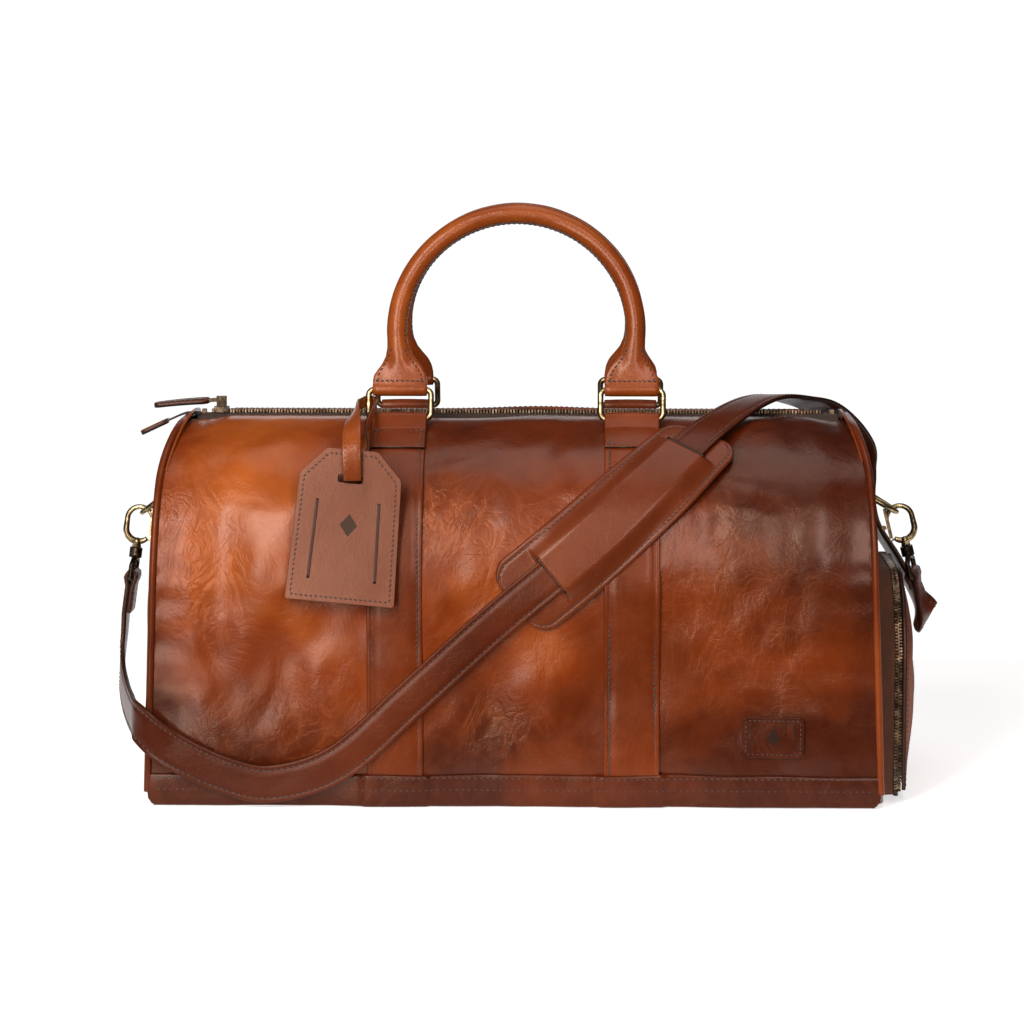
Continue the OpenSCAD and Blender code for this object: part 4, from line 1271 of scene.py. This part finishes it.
def hook(end, k, name):
    """Cast snap hook: a round wire bow that swells into the swivel barrel."""
    top = [(8.75 * math.cos(a), 0, -22 + 8.75 * math.sin(a)) for a in np.radians(np.linspace(172, 0, 26))]
    low = [(8.75 * math.cos(a), 0, -29 + 8.75 * math.sin(a)) for a in np.radians(np.linspace(0, -138, 22))]
    side = [(8.75, 0, z) for z in np.linspace(-22, -29, 8)[1:-1]]
    points = np.array(top + side + low) / 1000
    stations = np.linspace(0, 1, len(points))
    radii = np.interp(stations, [0, 0.08, 0.5, 0.8, 0.92, 1.0],
                      [0.0013, 0.0017, 0.0019, 0.0025, 0.0021, 0.0015])
    verts, faces = tube(points, radii)
    barrel = np.array([(0, 0, -35.2), (0, 0, -36.2), (0, 0, -37.5), (0, 0, -38.6), (0, 0, -39.0),
                       (0, 0, -41.4), (0, 0, -41.9)]) / 1000
    parts = [(verts, faces), tube(barrel, np.array([1.0, 2.6, 3.4, 3.2, 2.6, 3.3, 2.9]) / 1000)]
    stem = np.array([(0, 0, z) for z in (-41.5, -49.3, -49.4, -50.5)]) / 1000
    parts.append(tube(stem, np.array([1.5, 1.5, 2.2, 2.1]) / 1000))
    all_verts, all_faces, start = [], [], 0
    for v, f in parts:
        all_verts.append(v)
        all_faces += [tuple(start + i for i in face) for face in f]
        start += len(v)
    piece = mesh_piece(name, at_hook(np.concatenate(all_verts), end, k), all_faces, BRASS)
    place(piece, name, "antique_brass", name)


def strap_fold(end, k, low):
    """Line and normals of the strap's folded end: up the inner leaf, round the eye's bar and down again."""
    r = 0.00335
    inner = [(-0.0016, 0, z) for z in np.linspace(low + 0.001, EYE_Z - 0.006, 8)]
    loop = [(r * math.cos(a), 0, EYE_Z + r * math.sin(a)) for a in np.radians(np.linspace(200, -20, 16))]
    outer = [(0.0016, 0, z) for z in np.linspace(EYE_Z - 0.006, low, 8)]
    points = np.array(inner + loop + outer)
    across = np.cross(headings(points), [0.0, 1.0, 0.0])
    spots = at_hook(points, end, k, EYE_TURN[k])
    tips = at_hook(points + unit(across) * 0.001, end, k, EYE_TURN[k])
    normals = unit(tips - spots)
    outward = np.sum(normals[len(inner) + 8] * (spots[len(inner) + 8] - at_hook([[0, 0, EYE_Z]], end, k)[0]))
    return spots, normals * (1 if outward > 0 else -1)


for end, k, way in ((-1, 0, "left"), (1, 1, "right")):
    hook(end, k, f"{way}_hook")
    dress(BRASS, f"{way}_d_ring", f"{way}_gate")
    dress(DARK_METAL, f"{way}_eye")

# ---- shoulder strap and pad ----

STRAP_T = 0.0030
STRAP_INSET = 0.0032
STRAP_OFF = 0.0077
LEFT_RUN = np.array([
    (-275, 0, 106, -1, 0, 0), (-277, -3, 88, -1, -0.1, 0), (-275, -22, 72, -1, -0.3, 0),
    (-268, -56, 64, -0.9, -0.5, 0), (-259, -94, 60, -0.8, -0.6, 0), (-250, -122, 57, -0.6, -0.8, 0),
])
# Along the bag: place along X, then how far below the shoulder (negative) or angle round the arch
BAG_RUN = ((-229, -110), (-194, -127), (-160, -133), (-116, -118), (-68, -75), (-12, -23.5), (40, 9),
           (88, 32), (129, 58), (168, 88), (199, 108), (222, 122))
RIGHT_RUN = np.array([
    (246, 98, 226, 0.7, 0.7, 0.3), (249, 103, 205, 0.8, 0.6, 0.1), (252, 100, 184, 0.9, 0.4, 0.2),
    (259, 84, 163, 0.8, 0.3, 0.5), (271, 58, 143, 0.85, 0.2, 0.4), (281, 34, 124, 0.9, 0.1, 0.2),
    (286, 18, 113, 0.8, 0, -0.5), (286.5, 7, 112, 0.85, -0.2, -0.4), (284, 1, 121, 0.97, -0.22, 0),
])
LEAF_LOW = (-0.088, -0.072)


def arch_point(angle, off):
    return np.array([(HALF_DEPTH + off) * math.cos(angle) ** (2 / ARCH_N),
                     ARCH_Z + (ARCH_H + off) * math.sin(angle) ** (2 / ARCH_N)])


def station(t, off):
    """Point (y, z) at a station: below 0 down the front wall, 0 to 180 round the arch."""
    if t < 0:
        z = ARCH_Z + t / 1000
        return np.array([-(HALF_DEPTH + off - BASE_TUCK * (1 - z / ARCH_Z)), z])
    if t <= 90:
        return arch_point(math.radians(t), off) * np.array([-1, 1])
    return arch_point(math.radians(180 - t), off)


def bag_row(x, t):
    a, b = station(t, 0), station(t + 1, 0)
    face = unit(np.array([0, a[1] - b[1], b[0] - a[0]]))
    y, z = station(t, STRAP_OFF)
    return [x, y * 1000, z * 1000, *face]


def strap_route():
    rows = np.concatenate([LEFT_RUN, [bag_row(x, t) for x, t in BAG_RUN], RIGHT_RUN])
    fine = curve_points(rows, 12)
    return fine[:, :3] / 1000, unit(fine[:, 3:])


STRAP_SPANS = {
    "left_strap": ("left_clip", "bag", (-0.276, 0.0, 0.114), (-0.255, -0.060, 0.075)),
    "right_strap": ("right_clip", "bag", (0.284, 0.002, 0.120), (0.232, 0.052, 0.150)),
}


def strap_part(key, points, normals):
    points, normals = evenly(points, 0.0030, normals)
    normals = unit(normals)
    piece = strip("shoulder_" + key, points, normals, STRAP_W, STRAP_T, (DARK, EDGE), STRAP_INSET, 0.0002)
    even_tone(piece, 0.5)
    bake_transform(piece)
    if key == "left_strap":
        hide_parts("shoulder_strap", "left_strap_end")
    else:
        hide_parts("shoulder_strap", "right_strap_end")
    heading = headings(points)
    across = unit(np.cross(heading, normals))
    lift = unit(np.cross(across, heading))
    for edge in (-1, 1):
        line = points + across * edge * (STRAP_W / 2 - STRAP_INSET) + lift * (STRAP_T / 2 - 0.0001)
        seams.sew(key, THREAD_DARK, line[2:-2], lift[2:-2], 0.0040, 0.0028)
    return points


def shoulder_strap():
    route, facing = strap_route()
    middle = np.argmin(np.abs(route[:, 0] - 0.068) + 10 * (route[:, 2] < 0.15))
    left, left_normals = strap_fold(-1, 0, LEAF_LOW[0])
    right, right_normals = strap_fold(1, 1, LEAF_LOW[1])
    ends = []
    for fold, fold_normals, path, path_normals in (
            (left, left_normals, route[:middle + 1], facing[:middle + 1]),
            (right, right_normals, route[middle - 1:][::-1], facing[middle - 1:][::-1])):
        ends.append((np.concatenate([fold, path[6:]]), np.concatenate([fold_normals, path_normals[6:]])))
    length = sum(np.sum(np.linalg.norm(np.diff(p, axis=0), axis=1)) for p, _ in ends)
    print(f"strap length {length:.3f} m", flush=True)
    strap_part("left_strap", *ends[0])
    strap_part("right_strap", *ends[1])


PAD_FROM = 0.0005
PAD_TO = 0.130
PAD_T = 0.0024
PAD_LOW = -0.0030
PAD_CORNER = 0.014
PAD_INSET = 0.0038
PAD_HUMP = 0.0056
PAD_DROOP = 0.0012
PAD_SLITS = (0.031, 0.024)


def shoulder_pad():
    """A stitched leather pad: the strap lies over its ends and runs through slits under its raised middle."""
    route, facing = strap_route()
    keep = (route[:, 0] > PAD_FROM) & (route[:, 0] < PAD_TO) & (route[:, 2] > 0.10)
    points, facing = evenly(route[keep], 0.0010, facing[keep])
    heading = headings(points)
    across = unit(np.cross(heading, facing))
    up = unit(np.cross(across, heading))
    run = np.linspace(0, 1, len(points)) * np.sum(np.linalg.norm(np.diff(points, axis=0), axis=1))
    back = run[-1] - run
    near_end = np.minimum(run, back)
    half = PAD_W / 2 - PAD_CORNER * (1 - np.sqrt(1 - np.clip(1 - near_end / PAD_CORNER, 0, 1) ** 2))
    raised = smooth(PAD_SLITS[0] - 0.002, PAD_SLITS[0] + 0.002, run)
    raised = raised * smooth(PAD_SLITS[1] - 0.002, PAD_SLITS[1] + 0.002, back)

    def laid(side, sink):
        """Points on the pad's face, side metres from its middle line, sunk by the given depth."""
        hump = PAD_HUMP * raised[:, None] * (1 - smooth(0.0120, 0.0250, np.abs(side)))
        height = PAD_LOW + PAD_T / 2 + hump - PAD_DROOP * (side / (PAD_W / 2)) ** 2 - sink
        return points[:, None] + across[:, None] * side[..., None] + up[:, None] * height[..., None]

    side = np.linspace(-1, 1, 61)[None, :] * half[:, None]
    rim = half[:, None] - np.abs(side)
    groove = 0.0004 * np.exp(-((rim - PAD_INSET) / 0.0009) ** 2) + 0.0009 * (1 - smooth(0.0, 0.0013, rim))
    outer = laid(side, groove)
    flat = PAD_LOW - PAD_T / 2 - PAD_DROOP * (side / (PAD_W / 2)) ** 2
    inner = points[:, None] + across[:, None] * side[..., None] + up[:, None] * flat[..., None]
    piece = sheet("shoulder_pad", outer, inner, (PAD_LEATHER, EDGE), 1)
    even_tone(piece, 0.50)
    place(piece, "bag", "dark_leather", "shoulder_pad")
    for edge in (-1, 1):
        line = laid(edge * (half - PAD_INSET)[:, None], 0.0002)[:, 0]
        inside = near_end > PAD_INSET
        seams.sew("bag", THREAD_DARK, line[inside], up[inside])
    first = np.argmax(near_end > PAD_INSET)
    span = np.linspace(-1, 1, 24)[None, :] * (half - PAD_INSET)[:, None]
    for row in (first, len(points) - 1 - first):
        seams.sew("bag", THREAD_DARK, laid(span, 0.0002)[row], np.tile(up[row], (24, 1)))
    for number, row in enumerate((np.argmax(run > PAD_SLITS[0] + 0.0006),
                                  np.argmax(back < PAD_SLITS[1] + 0.0006))):
        line = points[row] + across[row] * np.linspace(-0.0150, 0.0150, 12)[:, None] + up[row] * 0.0021
        slit = strip(f"pad_slit_{number}", line, np.tile(up[row], (12, 1)), 0.0020, 0.0012, (EDGE, EDGE), 0.0)
        even_tone(slit, 0.3)
        place(slit, "bag", "dark_leather")


shoulder_strap()
shoulder_pad()

# ---- luggage tag and maker's patch ----

TAG_TOP = np.array([-0.106, -0.120, 0.241])
TAG_TILT = math.radians(5)
TAG_LEAN = math.radians(-7)
TAG_T = 0.0022
TAG_OUTLINE = ((-17, 0), (17, 0), (34, -18), (36.5, -102), (-36.5, -102), (-34, -18))
TAG_SLOT = ((-8, -22), (8, -22), (8, -17), (-8, -17))


def at_tag(points):
    """Carries points drawn on the tag (x across, y into the bag, z up) to where it hangs."""
    p = np.asarray(points, float)
    c, s = math.cos(TAG_TILT), math.sin(TAG_TILT)
    p = np.stack([p[:, 0] * c + p[:, 2] * s, p[:, 1], -p[:, 0] * s + p[:, 2] * c], -1)
    c, s = math.cos(TAG_LEAN), math.sin(TAG_LEAN)
    return np.stack([p[:, 0], p[:, 1] * c - p[:, 2] * s, p[:, 1] * s + p[:, 2] * c], -1) + TAG_TOP


def rounded(corners, radius, steps=6):
    """A closed outline with its corners rounded."""
    p = np.asarray(corners, float)
    out = []
    for a, b, c in zip(np.roll(p, 1, 0), p, np.roll(p, -1, 0)):
        start = b + (a - b) / np.linalg.norm(a - b) * radius
        end = b + (c - b) / np.linalg.norm(c - b) * radius
        for t in np.linspace(0, 1, steps):
            out.append((1 - t) ** 2 * start + 2 * t * (1 - t) * b + t ** 2 * end)
    return np.array(out)


def plate(name, outline, holes, thick, bevel, move, materials, tone, crease=0.3):
    """A flat leather plate with rounded edges: an outline in x and z, and its thickness along y."""
    data = bpy.data.curves.new(name, "CURVE")
    data.dimensions = "2D"
    data.fill_mode = "BOTH"
    data.extrude = thick / 2 - bevel
    data.bevel_depth = bevel
    data.bevel_resolution = 2
    data.offset = -bevel
    for loop in (outline, *holes):
        spline = data.splines.new("POLY")
        spline.points.add(len(loop) - 1)
        spline.use_cyclic_u = True
        for point, (x, z) in zip(spline.points, loop):
            point.co = (x, z, 0, 1)
    holder = bpy.data.objects.new(name + "_outline", data)
    bpy.context.collection.objects.link(holder)
    bpy.context.view_layer.update()
    solid = holder.evaluated_get(bpy.context.evaluated_depsgraph_get()).to_mesh()
    verts = np.array([v.co[:] for v in solid.vertices])
    faces = [tuple(f.vertices) for f in solid.polygons]
    side = [int(abs(f.normal.z) < 0.5) for f in solid.polygons]
    holder.to_mesh_clear()
    bpy.data.objects.remove(holder)
    placed = move(np.stack([verts[:, 0], -verts[:, 2], verts[:, 1]], -1))
    piece = mesh_piece(name, placed, faces, materials, side, True)
    set_tone(piece, np.full(len(verts), tone), np.full(len(verts), crease))
    return piece


def tag_line(points_xz, depth):
    p = np.asarray(points_xz, float)
    return at_tag(np.stack([p[:, 0], np.full(len(p), depth), p[:, 1]], -1))


def luggage_tag():
    outline = rounded(np.array(TAG_OUTLINE) / 1000, 0.0022)
    slot = rounded(np.array(TAG_SLOT) / 1000, 0.0014)
    front = turn_tag([[0, -1, 0]])[0]
    for number in (0, 1):
        middle = TAG_T / 2 + number * (TAG_T + 0.0001)
        piece = plate(f"tag_layer_{number}", outline, (slot,), TAG_T, 0.0005,
                      lambda p, m=middle: at_tag(p + np.array([0, m, 0])), (TAG_LEATHER, EDGE), 0.55, 0.15)
        place(piece, "luggage_tag", "dark_leather", "luggage_tag")
    inset = rounded(np.array([(-15.4, -3.4), (15.4, -3.4), (30.6, -19.6), (33.0, -98.6), (-33.0, -98.6),
                              (-30.6, -19.6)]) / 1000, 0.002)
    border = tag_line(np.concatenate([inset, inset[:1]]), -0.0001)
    seams.sew("luggage_tag", THREAD_DARK, border, np.tile(front, (len(border), 1)), 0.0033, 0.0024)
    for edge in (-1, 1):
        column = [(edge * 0.0205, -0.034), (edge * 0.0222, -0.087)]
        line = evenly(tag_line(column, -0.0001), 0.002)
        piece = strip(f"tag_crease_{'left' if edge < 0 else 'right'}", line, np.tile(front, (len(line), 1)),
                      0.0009, 0.0005, (EDGE, EDGE), 0.0)
        even_tone(piece, 0.4)
        place(piece, "luggage_tag", "dark_leather")
    mark = np.array([(0, 0.0075), (0.0058, 0), (0, -0.0075), (-0.0058, 0)]) + np.array([0.0015, -0.050])
    piece = plate("tag_mark", mark, (), 0.0006, 0.0001, lambda p: at_tag(p + np.array([0, -0.0001, 0])),
                  (EDGE, EDGE), 0.1)
    place(piece, "luggage_tag", "dark_leather")


def turn_tag(vectors):
    return at_tag(np.asarray(vectors, float)) - TAG_TOP


# Middle line of the tag's strap, then its facing: up the front, round the ring's side bar, down behind
TAG_LOOP = np.array([
    (-106, -125.4, 221, 0, -1, 0), (-106.6, -125.4, 240, 0, -1, 0.2), (-107, -112, 256, -0.3, -0.6, 0.8),
    (-107, -84, 264, -0.8, -0.1, 0.5), (-106.8, -62, 265.5, -1, 0, 0.1), (-105.2, -49, 265.5, -1, 0.2, 0),
    (-100.3, -42.6, 267, 0, 1, 0), (-95.4, -49, 265.5, 1, 0.2, 0), (-96, -60, 262.5, 1, 0, 0),
    (-98.6, -76, 256, 0.9, 0.1, 0), (-102, -92, 246, 0.4, 0.9, 0.4), (-104.6, -107, 234, 0, 1, 0.4),
    (-105.6, -115, 222.5, 0, 1, 0.2),
])


def tag_strap():
    fine = curve_points(TAG_LOOP, 10)
    points, normals = evenly(fine[:, :3] / 1000, 0.0015, fine[:, 3:])
    normals = unit(normals)
    at = np.linspace(0, 1, len(points))
    width = np.interp(at, [0, 0.16, 0.32, 0.45, 0.60, 0.74, 1.0],
                      [0.0120, 0.0125, 0.0105, 0.0075, 0.0075, 0.0105, 0.0125])
    piece = strip("tag_strap", points, normals, width, 0.0016, (HANDLE_TAN, EDGE), 0.0)
    even_tone(piece, 0.60)
    place(piece, "tag_strap", "dark_leather", "tag_strap")
    across = unit(np.cross(headings(points), normals))
    for edge in (-1, 1):
        line = points + across * (edge * (width / 2 - 0.0017))[:, None] + normals * 0.0008
        seams.sew("tag_strap", THREAD_TAN, line[2:-2], normals[2:-2], 0.0032, 0.0022, 0.00032)


PATCH_X = (0.1525, 0.194)
PATCH_Z = (0.035, 0.063)


def on_patch(points, lift=0.0):
    """Lays points drawn in x and z, with y as depth, on the lower front of the bag."""
    p = np.asarray(points, float)
    s = s_at_z(p[:, 2])
    return skin(p[:, 0], s, 0.0014 + lift - p[:, 1], -1)


def maker_patch():
    (x0, x1), (z0, z1) = PATCH_X, PATCH_Z
    corners = [(x0, z0), (x1, z0), (x1, z1), (x0, z1)]
    piece = plate("maker_patch", rounded(corners, 0.0042), (), 0.0020, 0.0005, on_patch, (BAND_TAN, EDGE),
                  0.06, 0.3)
    place(piece, "bag", "dark_leather", "maker_patch")
    inset = rounded([(x0 + 0.0025, z0 + 0.0025), (x1 - 0.0025, z0 + 0.0025), (x1 - 0.0025, z1 - 0.0025),
                     (x0 + 0.0025, z1 - 0.0025)], 0.0025)
    ring = np.concatenate([inset, inset[:1]])
    line = on_patch(np.stack([ring[:, 0], 0 * ring[:, 0], ring[:, 1]], -1), 0.0010)
    seams.sew("bag", THREAD_TAN, line, np.tile([0.0, -1.0, 0.0], (len(line), 1)), 0.0032, 0.0023, 0.00036)
    parts = [("patch_slot_left", [(x0 + 0.0058, z0 + 0.005), (x0 + 0.0066, z0 + 0.005), (x0 + 0.0066,
            z1 - 0.005), (x0 + 0.0058, z1 - 0.005)]),
             ("patch_slot_right", [(x1 - 0.0066, z0 + 0.005), (x1 - 0.0058, z0 + 0.005), (x1 - 0.0058,
                     z1 - 0.005), (x1 - 0.0066, z1 - 0.005)])]
    middle = np.array([(x0 + x1) / 2, (z0 + z1) / 2])
    parts.append(("patch_mark", np.array([(0, 0.0062), (0.0048, 0), (0, -0.0062), (-0.0048, 0)]) + middle))
    for name, shape in parts:
        piece = plate(name, shape, (), 0.0006, 0.0001, lambda p: on_patch(p, 0.0009), (EDGE, EDGE), 0.1)
        place(piece, "bag", "dark_leather")


luggage_tag()
tag_strap()
maker_patch()

# ---- hidden parts and small CAD pieces ----

dress(CLOTH, "shoe_pocket")
dress(BOARD, "base_board")
dress(PLAIN_DARK, "shoe_pull")
dress(PLAIN_TAN, "left_ring_tab", "right_ring_tab")

# ---- light and setting ----


def area_light(name, place_at, target, size, power, colour=(1.0, 1.0, 1.0), size_y=None):
    data = bpy.data.lights.new(name, "AREA")
    data.energy = power
    data.color = colour
    data.shape = "RECTANGLE"
    data.size = size
    data.size_y = size_y or size
    lamp = bpy.data.objects.new(name, data)
    bpy.context.collection.objects.link(lamp)
    lamp.location = place_at
    lamp.rotation_euler = (Vector(target) - Vector(place_at)).to_track_quat("-Z", "Y").to_euler()


def setting():
    scene = bpy.context.scene
    scene.view_settings.view_transform = "Standard"
    world = bpy.data.worlds.new("world")
    world.use_nodes = True
    tree = world.node_tree
    background = tree.nodes["Background"]
    background.inputs["Color"].default_value = (1.0, 1.0, 1.0, 1.0)
    across = tree.nodes.new("ShaderNodeSeparateXYZ")
    tree.links.new(tree.nodes.new("ShaderNodeTexCoord").outputs["Generated"], across.inputs[0])
    glow = tree.nodes.new("ShaderNodeMapRange")
    glow.interpolation_type = "SMOOTHSTEP"
    for socket, value in zip(("From Min", "From Max", "To Min", "To Max"), (0.90, 0.948, 0.04, 1.05)):
        glow.inputs[socket].default_value = value
    tree.links.new(across.outputs["Y"], glow.inputs["Value"])
    # the backdrop is plain white from every side, while only the part behind the bag lights it
    seen = tree.nodes.new("ShaderNodeMath")
    seen.operation = "MAXIMUM"
    tree.links.new(glow.outputs["Result"], seen.inputs[0])
    tree.links.new(tree.nodes.new("ShaderNodeLightPath").outputs["Is Camera Ray"], seen.inputs[1])
    tree.links.new(seen.outputs[0], background.inputs["Strength"])
    scene.world = world
    area_light("key", (-1.0, -1.7, 1.5), (-0.12, 0.0, 0.17), 0.9, 20.0)
    area_light("left_strip", (-0.56, -1.8, 0.72), (-0.20, 0.0, 0.17), 0.36, 38.0, (1.0, 0.93, 0.88), 2.0)
    area_light("right_strip", (0.46, -1.8, 0.95), (0.18, 0.0, 0.17), 0.30, 20.0, (1.0, 0.86, 0.82), 1.5)
    area_light("top_light", (0.1, -0.1, 1.6), (0.0, 0.0, 0.2), 1.0, 6.5)
    white = Nodes("floor_white")
    floor = mesh_piece("floor", [(-1.2, -0.20, 0), (1.2, -0.20, 0), (1.2, 0.5, 0), (-1.2, 0.5, 0)],
                       [(0, 1, 2, 3)],
                       white.finish((0.80, 0.80, 0.80), 0.9, None, Emission_Color=(1.0, 1.0, 1.0, 1.0),
                                    Emission_Strength=0.62))


seams.build()
setting()
